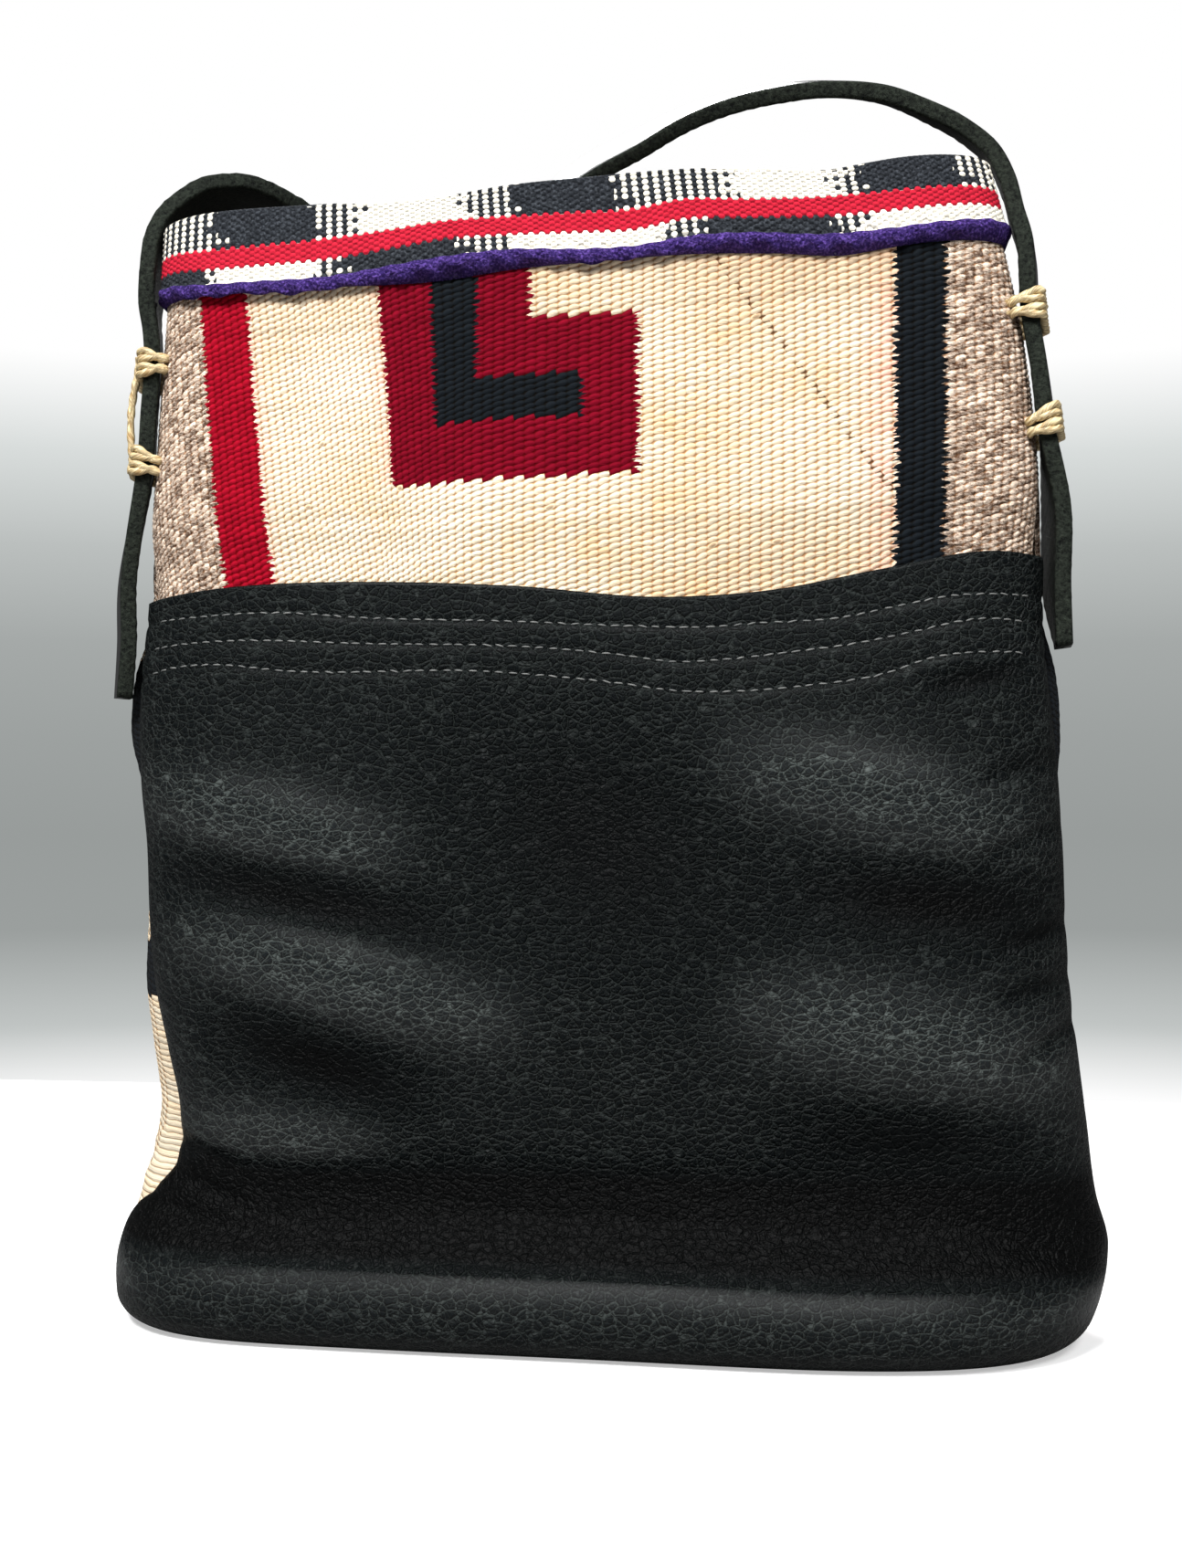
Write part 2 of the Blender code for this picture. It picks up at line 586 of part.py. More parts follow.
def lashing(name, side, below):
    """One cord that goes to and fro round the strap, from the cloth in front to the cloth behind."""
    z = mouth(side * HALF_WIDTH) - below
    _, across_it, out = strap_frame(side, z)
    reach = STRAP_WIDTH / 2 + GAP + CORD_RADIUS
    top = STRAP_THICKNESS / 2 + 3 * GAP + CORD_RADIUS
    points = []
    for strand in range(LASHING_STRANDS):
        level = z + (strand - (LASHING_STRANDS - 1) / 2) * STRAND_PITCH
        rise = LASHING_RISE * (1 if strand % 2 else -1)
        corner = CORD_RADIUS
        middle = strap_beside(side, level)
        loop = [(-reach, top - corner), (-reach + corner, top), (0, top),
                (reach - corner, top), (reach, top - corner)]
        loop = [middle + a * across_it + b * out for a, b in loop]
        front_y = (middle - reach * across_it)[1]
        loop.insert(0, (side * clear_of_cloth(side, level, front_y), front_y))
        loop.append(middle + reach * across_it - STRAP_THICKNESS / 2 * out)
        back_y = loop[-1][1]
        loop.append((side * clear_of_cloth(side, level, back_y), back_y))
        for x, y in loop if strand % 2 == 0 else loop[::-1]:
            points.append((x, y, level + rise * y / reach))
    data = bpy.data.curves.new(name, "CURVE")
    data.dimensions = "3D"
    data.bevel_depth = CORD_RADIUS
    data.bevel_resolution = 2
    data.use_fill_caps = True
    spline = data.splines.new("POLY")
    spline.points.add(len(points) - 1)
    for point, place in zip(spline.points, points):
        point.co = (*place, 1)
    data.materials.append(material("waxed cord", CORD_COLOUR, 0.6))
    bag.objects.link(bpy.data.objects.new(name, data))


clear_scene()
bag = bpy.data.collections.new("handbag")
bpy.context.scene.collection.children.link(bag)
front_leather()
front_rug()
back_rug()
mouth_band()
strap()
lashing("tie_left_upper", -1, LEFT_LASHINGS[0])
lashing("tie_left_lower", -1, LEFT_LASHINGS[1])
lashing("tie_right_upper", 1, RIGHT_LASHINGS[0])
lashing("tie_right_lower", 1, RIGHT_LASHINGS[1])
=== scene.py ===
import math

import bpy
import numpy as np
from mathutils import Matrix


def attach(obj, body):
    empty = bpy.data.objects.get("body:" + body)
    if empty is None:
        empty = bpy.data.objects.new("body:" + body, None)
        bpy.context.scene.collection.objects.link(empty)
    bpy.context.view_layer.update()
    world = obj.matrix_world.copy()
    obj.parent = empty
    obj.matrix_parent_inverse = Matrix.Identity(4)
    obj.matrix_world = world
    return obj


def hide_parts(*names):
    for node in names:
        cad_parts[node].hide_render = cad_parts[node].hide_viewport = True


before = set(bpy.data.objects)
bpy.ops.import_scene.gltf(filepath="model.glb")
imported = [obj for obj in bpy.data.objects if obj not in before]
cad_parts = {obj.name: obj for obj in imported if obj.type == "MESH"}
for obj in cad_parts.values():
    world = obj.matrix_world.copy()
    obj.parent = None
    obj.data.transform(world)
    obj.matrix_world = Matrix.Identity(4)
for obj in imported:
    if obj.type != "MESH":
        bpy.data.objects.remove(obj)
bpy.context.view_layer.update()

# THE FRONT WEAVE
# A piece of thick wool tapestry, woven so that the weft hides the warp: every warp shows as a
# column of small slanted beads, and the beads of neighbouring columns lie half a bead apart.
# It is sewn behind the leather's top edge and bound by the trim above.

HEIGHT = 0.316
HALF_WIDTH = 0.130
BOTTOM_ROUNDING = 0.008
LEFT_OUTLINE = ((0, 1.03), (0.03, 1.04), (0.065, 1.035), (0.097, 1), (0.116, 0.95),
                (0.135, 0.908), (0.155, 0.892), (0.185, 0.889), (0.24, 0.913), (0.3, 0.943),
                (0.37, 0.964), (0.46, 0.984), (0.66, 0.986), (0.8, 0.967), (0.92, 0.946), (1.03, 0.93))
RIGHT_OUTLINE = ((0, 1.03), (0.045, 1.075), (0.085, 1.09), (0.125, 1.065), (0.19, 1.045),
                 (0.3, 1.012), (0.48, 0.985), (0.6, 0.956), (0.68, 0.956), (0.74, 0.95),
                 (0.8, 0.938), (0.873, 0.914), (0.93, 0.885), (0.985, 0.85), (1.03, 0.822))


def smooth_through(points, at):
    """Values read from a curve through (place, value) points: a cubic between each pair of them."""
    place, value = np.array(points, float).T
    slope = np.gradient(value, place)
    at = np.clip(at, place[0], place[-1])
    low = np.clip(np.searchsorted(place, at) - 1, 0, len(place) - 2)
    span = place[low + 1] - place[low]
    f = (at - place[low]) / span
    from_low = (1 + 2 * f) * (1 - f) ** 2 * value[low] + f * (1 - f) ** 2 * span * slope[low]
    from_high = f * f * (3 - 2 * f) * value[low + 1] - f * f * (1 - f) * span * slope[low + 1]
    return from_low + from_high


def rounding(z):
    """A quarter circle: how far the bottom's rounded edge draws every outline in, at height z."""
    short = np.clip(BOTTOM_ROUNDING - z, 0, BOTTOM_ROUNDING)
    return BOTTOM_ROUNDING - np.sqrt(BOTTOM_ROUNDING**2 - short**2)


def half_widths(z):
    """The two outlines at height z, each as a distance from the middle."""
    left = HALF_WIDTH * smooth_through(LEFT_OUTLINE, z / HEIGHT) - rounding(z)
    right = HALF_WIDTH * smooth_through(RIGHT_OUTLINE, z / HEIGHT) - rounding(z)
    return left, right


# Soft bumps of the front: x, z, reach to the sides, reach up and down, how far out.
SWELLINGS = ((-0.105, 0.152, 0.022, 0.022, 0.0016), (-0.062, 0.092, 0.03, 0.016, 0.0014),
             (0.082, 0.155, 0.028, 0.02, 0.0016), (0.086, 0.082, 0.032, 0.018, 0.0014),
             (0, 0.125, 0.05, 0.035, -0.0012), (0.075, 0.01, 0.055, 0.028, 0.0035),
             (-0.085, 0.01, 0.04, 0.028, -0.0022))


def swelling(x, z):
    """A sum of soft bumps, each the exponential of minus its squared distance."""
    total = np.zeros(np.broadcast(x, z).shape)
    for at_x, at_z, reach_x, reach_z, out in SWELLINGS:
        total += out * np.exp(-(((x - at_x) / reach_x) ** 2) - ((z - at_z) / reach_z) ** 2)
    return total


# (share of the height, how far the side seam stands forward, how far the cloth behind it swells).
LEFT_BELLY = ((0, 0.003, 0), (0.09, 0.006, 0.001), (0.125, 0.01, 0.011), (0.15, 0.01, 0.013),
              (0.18, 0.01, 0.0119), (0.24, 0.01, 0.0106), (0.3, 0.01, 0.0085),
              (0.36, 0.0085, 0.005), (0.43, 0.004, 0.002), (0.53, 0.005, 0.0085),
              (0.58, 0.004, 0.007), (0.64, 0, 0), (0.68, 0, 0), (1.03, 0, 0))
RIGHT_BELLY = ((0, 0, 0), (0.41, 0, 0), (0.45, 0, 0), (0.52, 0.004, 0.0045),
               (0.58, 0.004, 0.005), (0.64, 0, 0), (0.68, 0, 0), (1.03, 0, 0))


def belly(share, z):
    """How far the nearer side seam stands forward, and how far the cloth beside it swells out."""
    near = []
    for place in (1, 2):
        left = smooth_through([(row[0], row[place]) for row in LEFT_BELLY], z / HEIGHT)
        right = smooth_through([(row[0], row[place]) for row in RIGHT_BELLY], z / HEIGHT)
        near.append(np.where(share < 0, left, right))
    return near


FRONT_DEPTH = 0.028
BACK_DEPTH = 0.028
SQUARENESS = 6
GAP = 0.0003
FRONT_OUTLINE = ((0, 1.36), (0.04, 1.37), (0.07, 1.22), (0.1, 0.93), (0.14, 0.8),
                 (0.19, 0.88), (0.285, 1), (0.45, 0.98), (0.64, 0.88), (0.8, 0.72),
                 (0.92, 0.64), (1.03, 0.61))
BACK_OUTLINE = ((0, 1), (0.06, 1.04), (0.2, 1), (0.45, 0.98), (0.64, 0.88),
                (0.8, 0.74), (0.92, 0.65), (1.03, 0.61))


def wall(side, t, z):
    """The bag's outer face: x is a sine of t, y is depth x root, root being sqrt(1 - |x share|^6).

    y falls back to the seam with 1 - root. The back's x swells with 27/4 x root x (1 - root)^2,
    which is 1 at most.
    """
    left, right = half_widths(z)
    share = np.sin(math.pi / 2 * t)
    root = np.sqrt(np.clip(1 - np.abs(share) ** SQUARENESS, 0, 1))
    forward, swell = belly(share, z)
    x = (right - left) / 2 + (right + left) / 2 * share
    outline, scale = (FRONT_OUTLINE, FRONT_DEPTH) if side < 0 else (BACK_OUTLINE, BACK_DEPTH)
    depth = scale * smooth_through(outline, z / HEIGHT) - rounding(z)
    y = depth * root - side * forward * (1 - root)
    if side < 0:
        y = y + swelling(x, z) * (1 - share**2)
    else:
        x = x + np.sign(share) * swell * 27 / 4 * root * (1 - root) ** 2
    return np.stack([x, side * (y + GAP / 2), z + 0 * x], axis=-1)


def unit(vectors):
    return vectors / np.linalg.norm(vectors, axis=-1, keepdims=True)


def outward(side, t, z):
    """Unit normals: the cross product of the face's slopes, level in the side seams' plane."""
    step = 1e-5
    along = wall(side, np.clip(t + step, -1, 1), z) - wall(side, np.clip(t - step, -1, 1), z)
    up = wall(side, t, z + step) - wall(side, t, np.maximum(z - step, 0))
    normal = np.cross(along, up) * -side
    normal[np.abs(t) == 1, 1] = 0
    normal[z < step] = (0, 0, -1)
    return unit(normal)


def face_at(side, t, z):
    """The wall's points and normals for a row of t over a grid of heights."""
    t = np.broadcast_to(t, z.shape)
    return wall(side, t, z), outward(side, t, z)


def x_at(side, t, level):
    """How far to the side the wall's points stand at one height."""
    return wall(side, t, np.full_like(t, level))[:, 0]


def running(points):
    """Distance run along a line of points, or along each row of a grid: the sum of the steps."""
    step = np.linalg.norm(np.diff(points, axis=-2), axis=-1)
    return np.concatenate([0 * step[..., :1], np.cumsum(step, axis=-1)], axis=-1)


EVEN_LEVEL = HEIGHT * 0.8


def across(columns):
    """Values of t an even step of cloth apart at EVEN_LEVEL: the inverse of the running length."""
    fine = np.linspace(-1, 1, 8001)
    length = running(wall(-1, fine, np.full_like(fine, EVEN_LEVEL)))
    return np.interp(np.linspace(0, length[-1], columns), length, fine)


MOUTH_TILT = 0.039
BAND_THICKNESS = 0.0016
MOUTH_DIPS = ((-0.13, 0), (-0.118, 0), (-0.076, -0.0016), (-0.04, -0.0023), (-0.021, -0.0006),
              (0, -0.0001), (0.028, 0), (0.047, -0.0013), (0.066, -0.003), (0.075, -0.0019),
              (0.085, -0.0006), (0.103, 0.0006), (0.13, 0.0006))


def mouth(x):
    """Height of the bag's mouth: a slope and a curve through the dips."""
    return HEIGHT + MOUTH_TILT * x + smooth_through(MOUTH_DIPS, x)


def cloth_top(side, t):
    """Heights of the cloth's upper edge, inside the fold of the trim."""
    return mouth(x_at(side, t, HEIGHT)) - BAND_THICKNESS - GAP


def along_rows(points):
    """Distance along each row of a grid of points, from the point nearest to the middle plane."""
    run, rows = running(points), np.arange(len(points))
    middle = np.argmin(np.abs(points[..., 0]), axis=1)
    return run - (run[rows, middle] - points[rows, middle, 0])[:, None]


def solid(name, rings, charts, closed=False):
    """A mesh of closed parts, each a skin over rings of points, with UV maps in charts.

    Rings are (columns, points a ring, 3), or (parts, columns, points a ring, 3) for many parts.
    Unless the columns join up, the end rings are capped.
    """
    rings = rings.reshape(-1, *rings.shape[-3:])
    points = np.arange(rings[..., 0].size).reshape(rings.shape[:3])
    after = np.roll(points, -1, axis=1)
    here, there = (points, after) if closed else (points[:, :-1], after[:, :-1])
    quads = np.stack([here, np.roll(here, -1, axis=2), np.roll(there, -1, axis=2), there], axis=-1)
    caps = [] if closed else [*points[:, 0, ::-1], *points[:, -1]]
    loops = np.concatenate([quads.ravel(), *caps])
    cap_starts = quads.size + np.arange(len(caps)) * rings.shape[2]
    starts = np.concatenate([np.arange(0, quads.size, 4), cap_starts])
    mesh = bpy.data.meshes.new(name)
    mesh.vertices.add(points.size)
    mesh.vertices.foreach_set("co", rings.reshape(-1))
    mesh.loops.add(len(loops))
    mesh.loops.foreach_set("vertex_index", loops)
    mesh.polygons.add(len(starts))
    mesh.polygons.foreach_set("loop_start", starts)
    mesh.update(calc_edges=True)
    for chart, values in charts.items():
        layer = mesh.uv_layers.new(name=chart)
        layer.data.foreach_set("uv", values.reshape(-1, 2)[loops].reshape(-1))
    mesh.shade_smooth()
    if volume(mesh) < 0:
        mesh.flip_normals()
    piece = bpy.data.objects.new(name, mesh)
    bpy.context.scene.collection.objects.link(piece)
    return piece


def volume(mesh):
    """Six times the volume inside a closed mesh: the sum of its triangles' triple products."""
    mesh.calc_loop_triangles()
    corners = np.empty(len(mesh.loop_triangles) * 3, np.int32)
    mesh.loop_triangles.foreach_get("vertices", corners)
    places = np.empty(len(mesh.vertices) * 3)
    mesh.vertices.foreach_get("co", places)
    a, b, c = places.reshape(-1, 3)[corners].reshape(-1, 3, 3).transpose(1, 0, 2)
    return np.einsum("ij,ij->", a, np.cross(b, c))


def node(tree, kind, settings=None, values=None, out=0):
    """Adds a node: its settings first, a ramp's stops too, then its sockets' values or links."""
    made = tree.nodes.new(kind)
    for name, value in (settings or {}).items():
        if name == "stops":
            ramp = made.color_ramp
            while len(ramp.elements) < len(value):
                ramp.elements.new(0.5)
            for element, (place, colour) in zip(ramp.elements, value):
                element.position, element.color = place, (*colour, 1)
        else:
            setattr(made, name, value)
    for name, value in (values or {}).items():
        if isinstance(value, Wire):
            tree.links.new(value.socket, made.inputs[name])
        elif isinstance(value, tuple) and made.inputs[name].type == "RGBA":
            made.inputs[name].default_value = (*value, 1)
        else:
            made.inputs[name].default_value = value
    return Wire(tree, made.outputs[out]) if made.outputs else None


def maths(tree, operation, *values):
    return node(tree, "ShaderNodeMath", {"operation": operation}, dict(enumerate(values)))


def both_ways(operation):
    """An operator's two methods: with the wire on its left, and with the wire on its right."""
    return (lambda wire, other: maths(wire.tree, operation, wire, other),
            lambda wire, other: maths(wire.tree, operation, other, wire))


class Wire:
    """A node's output, on which Python's operators add Math nodes."""

    __add__, __radd__ = both_ways("ADD")
    __sub__, __rsub__ = both_ways("SUBTRACT")
    __mul__, __rmul__ = both_ways("MULTIPLY")
    __truediv__, __rtruediv__ = both_ways("DIVIDE")
    __pow__, __rpow__ = both_ways("POWER")
    __lt__, __gt__ = both_ways("LESS_THAN")[0], both_ways("GREATER_THAN")[0]

    def __init__(self, tree, socket):
        self.tree, self.socket = tree, socket

    def floor(self):
        return maths(self.tree, "FLOOR", self)

    def size(self):
        return maths(self.tree, "ABSOLUTE", self)

    def or_more(self, other):
        return maths(self.tree, "MAXIMUM", self, other)

    def clamped(self, low=0.0, high=1.0):
        return node(self.tree, "ShaderNodeClamp", None, {"Value": self, "Min": low, "Max": high})

    def smooth(self, low, high):
        """0 below low, 1 above high and a smooth step between them."""
        return node(self.tree, "ShaderNodeMapRange", {"interpolation_type": "SMOOTHSTEP"},
                    {"Value": self, "From Min": low, "From Max": high})


def mix(factor, one, other):
    """A colour between two colours."""
    return node(factor.tree, "ShaderNodeMix", {"data_type": "RGBA"}, {0: factor, 6: one, 7: other}, 2)


def shade(colour, factor):
    """A colour times a number."""
    return node(factor.tree, "ShaderNodeVectorMath", {"operation": "SCALE"}, {0: colour, "Scale": factor})


def vector(x, y, z=0.0):
    tree = next(v.tree for v in (x, y, z) if isinstance(v, Wire))
    return node(tree, "ShaderNodeCombineXYZ", None, {0: x, 1: y, 2: z})


def split(wire, count=3):
    return [node(wire.tree, "ShaderNodeSeparateXYZ", None, {0: wire}, k) for k in range(count)]


def chart(tree, name):
    """The two numbers of a UV map."""
    return split(node(tree, "ShaderNodeUVMap", {"uv_map": name}), 2)


def place_on(tree):
    """The point's own place on the piece, in metres."""
    return node(tree, "ShaderNodeTexCoord", None, None, 3)


def texture(kind, *where, out=0, **values):
    """A noise over a place, over two numbers or over one."""
    settings = None
    if where[0].socket.type == "VECTOR":
        values["Vector"] = where[0]
    elif len(where) == 2:
        settings, values["Vector"] = {"noise_dimensions": "2D"}, vector(*where)
    else:
        settings, values["W"] = {"noise_dimensions": "1D"}, where[0]
    return node(where[0].tree, "ShaderNodeTex" + kind, settings, values, out)


def material(name, look):
    """A new material. Its look, a function of the node tree, says the shader's inputs by name."""
    made = bpy.data.materials.new(name)
    made.use_nodes = True
    tree = made.node_tree
    for place, value in look(tree).items():
        socket = tree.nodes["Principled BSDF"].inputs[place.replace("_", " ")]
        if isinstance(value, Wire):
            tree.links.new(value.socket, socket)
        else:
            socket.default_value = value
    return made


def rgb(red, green, blue):
    """A colour as it shows, from 0 to 255 each, made linear."""
    shown = np.array([red, green, blue]) / 255
    return tuple(np.where(shown < 0.04045, shown / 12.92, ((shown + 0.055) / 1.055) ** 2.4).tolist())


def bump(height, depth):
    return node(height.tree, "ShaderNodeBump", None, {"Height": height, "Distance": depth, "Strength": 1.0})


WEFT_PITCH = 0.0017
WARP_PITCH = ((-0.17, 0.0023), (-0.088, 0.0022), (-0.08, 0.0018), (-0.06, 0.0018),
              (-0.038, 0.0029), (0.098, 0.0029), (0.112, 0.0026), (0.17, 0.0026))


def warp_at(u):
    """Number of warps from the middle to u: the integral of one over the pitch."""
    fine = np.linspace(WARP_PITCH[0][0], WARP_PITCH[-1][0], 3401)
    pitch = np.interp(fine, *np.array(WARP_PITCH).T)
    count = np.concatenate([[0], np.cumsum(np.diff(fine) / pitch[1:])])
    return np.interp(u, fine, count - np.interp(0, fine, count))


def sway(u, v):
    """Slow unevenness of a hand weave: a sum of six sines, between -1.4 and 1.4."""
    return (0.45 * np.sin(61 * u + 17 * v + 1.0) + 0.35 * np.sin(-37 * u + 83 * v + 2.1)
            + 0.20 * np.sin(151 * u - 43 * v + 0.4) + 0.16 * np.sin(531 * u - 307 * v + 0.7)
            + 0.14 * np.sin(-283 * u - 739 * v + 2.9) + 0.10 * np.sin(907 * u + 1213 * v))


PATTERN_LEVEL = 0.286
WEAVE_LEAN = 0.115
LEAN_STARTS, LEAN_GROWS = -0.030, 0.025
WARP_SWAY, WEFT_SWAY = 0.00025, 0.55


def weave_chart(points):
    """Warp and weft numbers over a grid of cloth, whose warps lean at the left edge."""
    u, z = along_rows(points), points[..., 2]
    lean = WEAVE_LEAN * np.clip((LEAN_STARTS - u) / LEAN_GROWS, 0, 1)
    u = u - lean * (PATTERN_LEVEL - z) + WARP_SWAY * sway(u * 2, z * 2)
    rows = (z - MOUTH_TILT * points[..., 0]) / WEFT_PITCH + WEFT_SWAY * sway(u, z)
    return np.stack([warp_at(u), rows], axis=-1)


def whole(number):
    return number.floor() if isinstance(number, Wire) else np.floor(number)


BEAD_SLANT = 0.42
BEAD_REACH = 0.62


def lattices(w, r):
    """Two lattices of beads half a bead apart: column, row and distance of the nearest bead of each.

    Each lattice takes every second column. A bead's distance is (columns away / reach)^2 +
    0.8 x (2 x rows away)^2, so its ends reach in between the beads of the columns beside it.
    """
    found = []
    for start in (0, 1):
        column = whole((w - start) / 2 + 0.5) * 2 + start
        off = w - column
        level = r + 0.5 * start - off * BEAD_SLANT
        row = whole(level)
        reach, away = off / BEAD_REACH, (level - row - 0.5) * 2
        found.append((column, row + 0.5 - 0.5 * start, reach * reach + away * away * 0.8))
    return found


def sheet(name, face, normal, rise, thickness, inner_rows, chart_name, numbers):
    """A thin closed piece: an outer face with its relief, and a plain inner face in fewer rows."""
    picked = np.linspace(len(face) - 1, 0, inner_rows).astype(int)
    rings = np.concatenate([face + normal * rise[..., None], (face - normal * thickness)[picked]])
    numbers = np.concatenate([numbers, numbers[picked]])
    return solid(name, rings.transpose(1, 0, 2), {chart_name: numbers.transpose(1, 0, 2)})


CLOTH_THICKNESS = 0.0035
LEATHER_THICKNESS = 0.0022
LAP = 0.028
EASE_ABOVE_LAP = 0.025
LEATHER_TOP = ((-0.125, 0.2026), (-0.099, 0.205), (-0.019, 0.2042), (0.022, 0.2008),
               (0.05, 0.2022), (0.079, 0.2075), (0.109, 0.2127), (0.125, 0.2122))
LEATHER_TOP_LEVEL = 0.203
BEAD_RELIEF = 0.00042
BEAD_FOOT = 1.2
WEAVE_COLUMNS, WEAVE_ROWS, WEAVE_INNER_ROWS = 430, 196, 14
# The close rows start this far below the leather's edge and end this far below the cloth's.
BEHIND_LEATHER, BEHIND_TRIM = 0.003, 0.019


def front_weave():
    """The outer face's rows are close together where the cloth shows, the inner face's are not.

    Above the leather's edge the cloth eases forward by the smooth step 3 a^2 - 2 a^3 of the rise.
    """
    t = across(WEAVE_COLUMNS)
    edge, top = smooth_through(LEATHER_TOP, x_at(-1, t, LEATHER_TOP_LEVEL)), cloth_top(-1, t)
    low, high = edge - BEHIND_LEATHER, top - BEHIND_TRIM
    share = np.linspace(0, 1, WEAVE_ROWS)[:, None]
    z = np.concatenate([edge[None] - LAP + [[0.0], [0.012]], low + share * (high - low),
                        top[None] - [[0.010], [0.004], [0.0]]])
    face, normal = face_at(-1, t, z)
    numbers = weave_chart(face)
    above = np.clip((z - edge) / EASE_ABOVE_LAP, 0, 1)
    face = face - normal * ((LEATHER_THICKNESS + GAP) * (1 - above**2 * (3 - 2 * above)))[..., None]
    away = np.minimum(*[bead[2] for bead in lattices(numbers[..., 0], numbers[..., 1])])
    rise = -BEAD_RELIEF * np.clip(away, 0, BEAD_FOOT)
    return sheet("front_weave", face, normal, rise, CLOTH_THICKNESS, WEAVE_INNER_ROWS, "weave", numbers)


def beads(tree):
    """The nearest bead's column, row, distance and chance, then the warp and weft numbers here."""
    w, r = chart(tree, "weave")
    one, other = lattices(w, r)
    first = one[2] < other[2]
    column, row, away = [b + (a - b) * first for a, b in zip(one, other)]
    return column, row, away, texture("WhiteNoise", column * 7.31, row * 3.17), w, r


def wool(colour, away, chance, w, r, depth, shine):
    """Yarn: each bead a little lighter or darker, with painted shade in its furrows, streaked along its
    fibres.
    """
    fibre = texture("Noise", w * 1.6, r * 7.0, Scale=1.0, Detail=3.0, Roughness=0.7)
    # Painted shade: a brown tint darkens the colour between the beads.
    furrow = mix(away.smooth(0.42, 1.05), (1.0, 1.0, 1.0), (0.50, 0.33, 0.21))
    batch = texture("Noise", r * 0.11)
    tone = (0.86 + chance * 0.22) * (0.78 + fibre * 0.44) * (0.80 + batch * 0.40)
    height = (1 - away.clamped(0, BEAD_FOOT)) + fibre * 0.55
    colour = node(colour.tree, "ShaderNodeVectorMath", {"operation": "MULTIPLY"}, {0: colour, 1: furrow})
    return dict(Base_Color=shade(colour, tone), Roughness=0.92, Normal=bump(height, depth),
                Specular_IOR_Level=shine)


def between(value, low, high):
    return (value > low) * (value < high)


CREAM, CREAM_DARK = rgb(243, 232, 209), rgb(214, 184, 144)
CHARCOAL, STRIPE_RED = rgb(20, 24, 28), rgb(146, 10, 32)
HEATHER_PALE, HEATHER_BROWN = rgb(238, 218, 198), rgb(96, 74, 60)


def cream_at(w, r, chance, wear, least):
    """Undyed wool, yellowed here and there."""
    worn = texture("Noise", w, r, Scale=0.05)
    return mix((worn * wear + chance * 0.5 + least).clamped(), CREAM, CREAM_DARK)


def heather_at(w, r, chance):
    """Two natural wools carded together: fine flecks of pale and brown along the yarn."""
    flecks = texture("Noise", w * 1.2, r * 2.4, Scale=1.0, Detail=4.0, Roughness=0.9)
    return mix(((flecks - 0.5) * 3.6 + chance * 0.6 + 0.12).clamped(), HEATHER_BROWN, HEATHER_PALE)


WEAVE_TEETH = 0.1


def toothed(w, r):
    """Warp numbers whose lines of one value are rows of pointed teeth, as where two wefts turn back."""
    step = r * 0.85 + texture("Noise", r * 0.4)
    reach = texture("WhiteNoise", step.floor())
    tip = (step - step.floor() - 0.5).size() * 2
    return w + (tip - 0.5) * (0.45 + reach * 0.75) - WEAVE_TEETH


HOOK_RED, PINK = rgb(110, 7, 27), rgb(232, 160, 150)
# The tan is painted shadow under the trim's foot, and soiling lower down on the right.
SPECK, SOILED_AND_SHADED = rgb(112, 86, 62), rgb(196, 168, 136)
# The stepped figure and the stripes beside it: x of their edges, and heights of their steps.
PATTERN_EDGES = {
    "stripe_left": -0.1100, "stripe_right": -0.0955, "hook_left": -0.0575, "leg_left": -0.0428,
    "leg_right": -0.0298, "upper_right": -0.0150, "bar_right": -0.0005, "hook_right": 0.0146,
    "dark_left": 0.0832, "dark_right": 0.0972}
PATTERN_STEPS = {"hook_foot": 0.2345, "bar_foot": 0.2502, "bar_top": 0.2625, "step": 0.2780}
# Heights where the painted shadow under the trim's foot starts and is full, then heights where the soiling
# above the leather is full and ends.
TRIM_SHADOW_FROM, TRIM_SHADOW_FULL = 0.2620, 0.2940
SOILED_FOOT, CLEAN_FROM = 0.2180, 0.2400
SPECK_LINE, SPECK_MIDDLE, SPECK_LEAN = 0.2943, 0.0342, 2.45


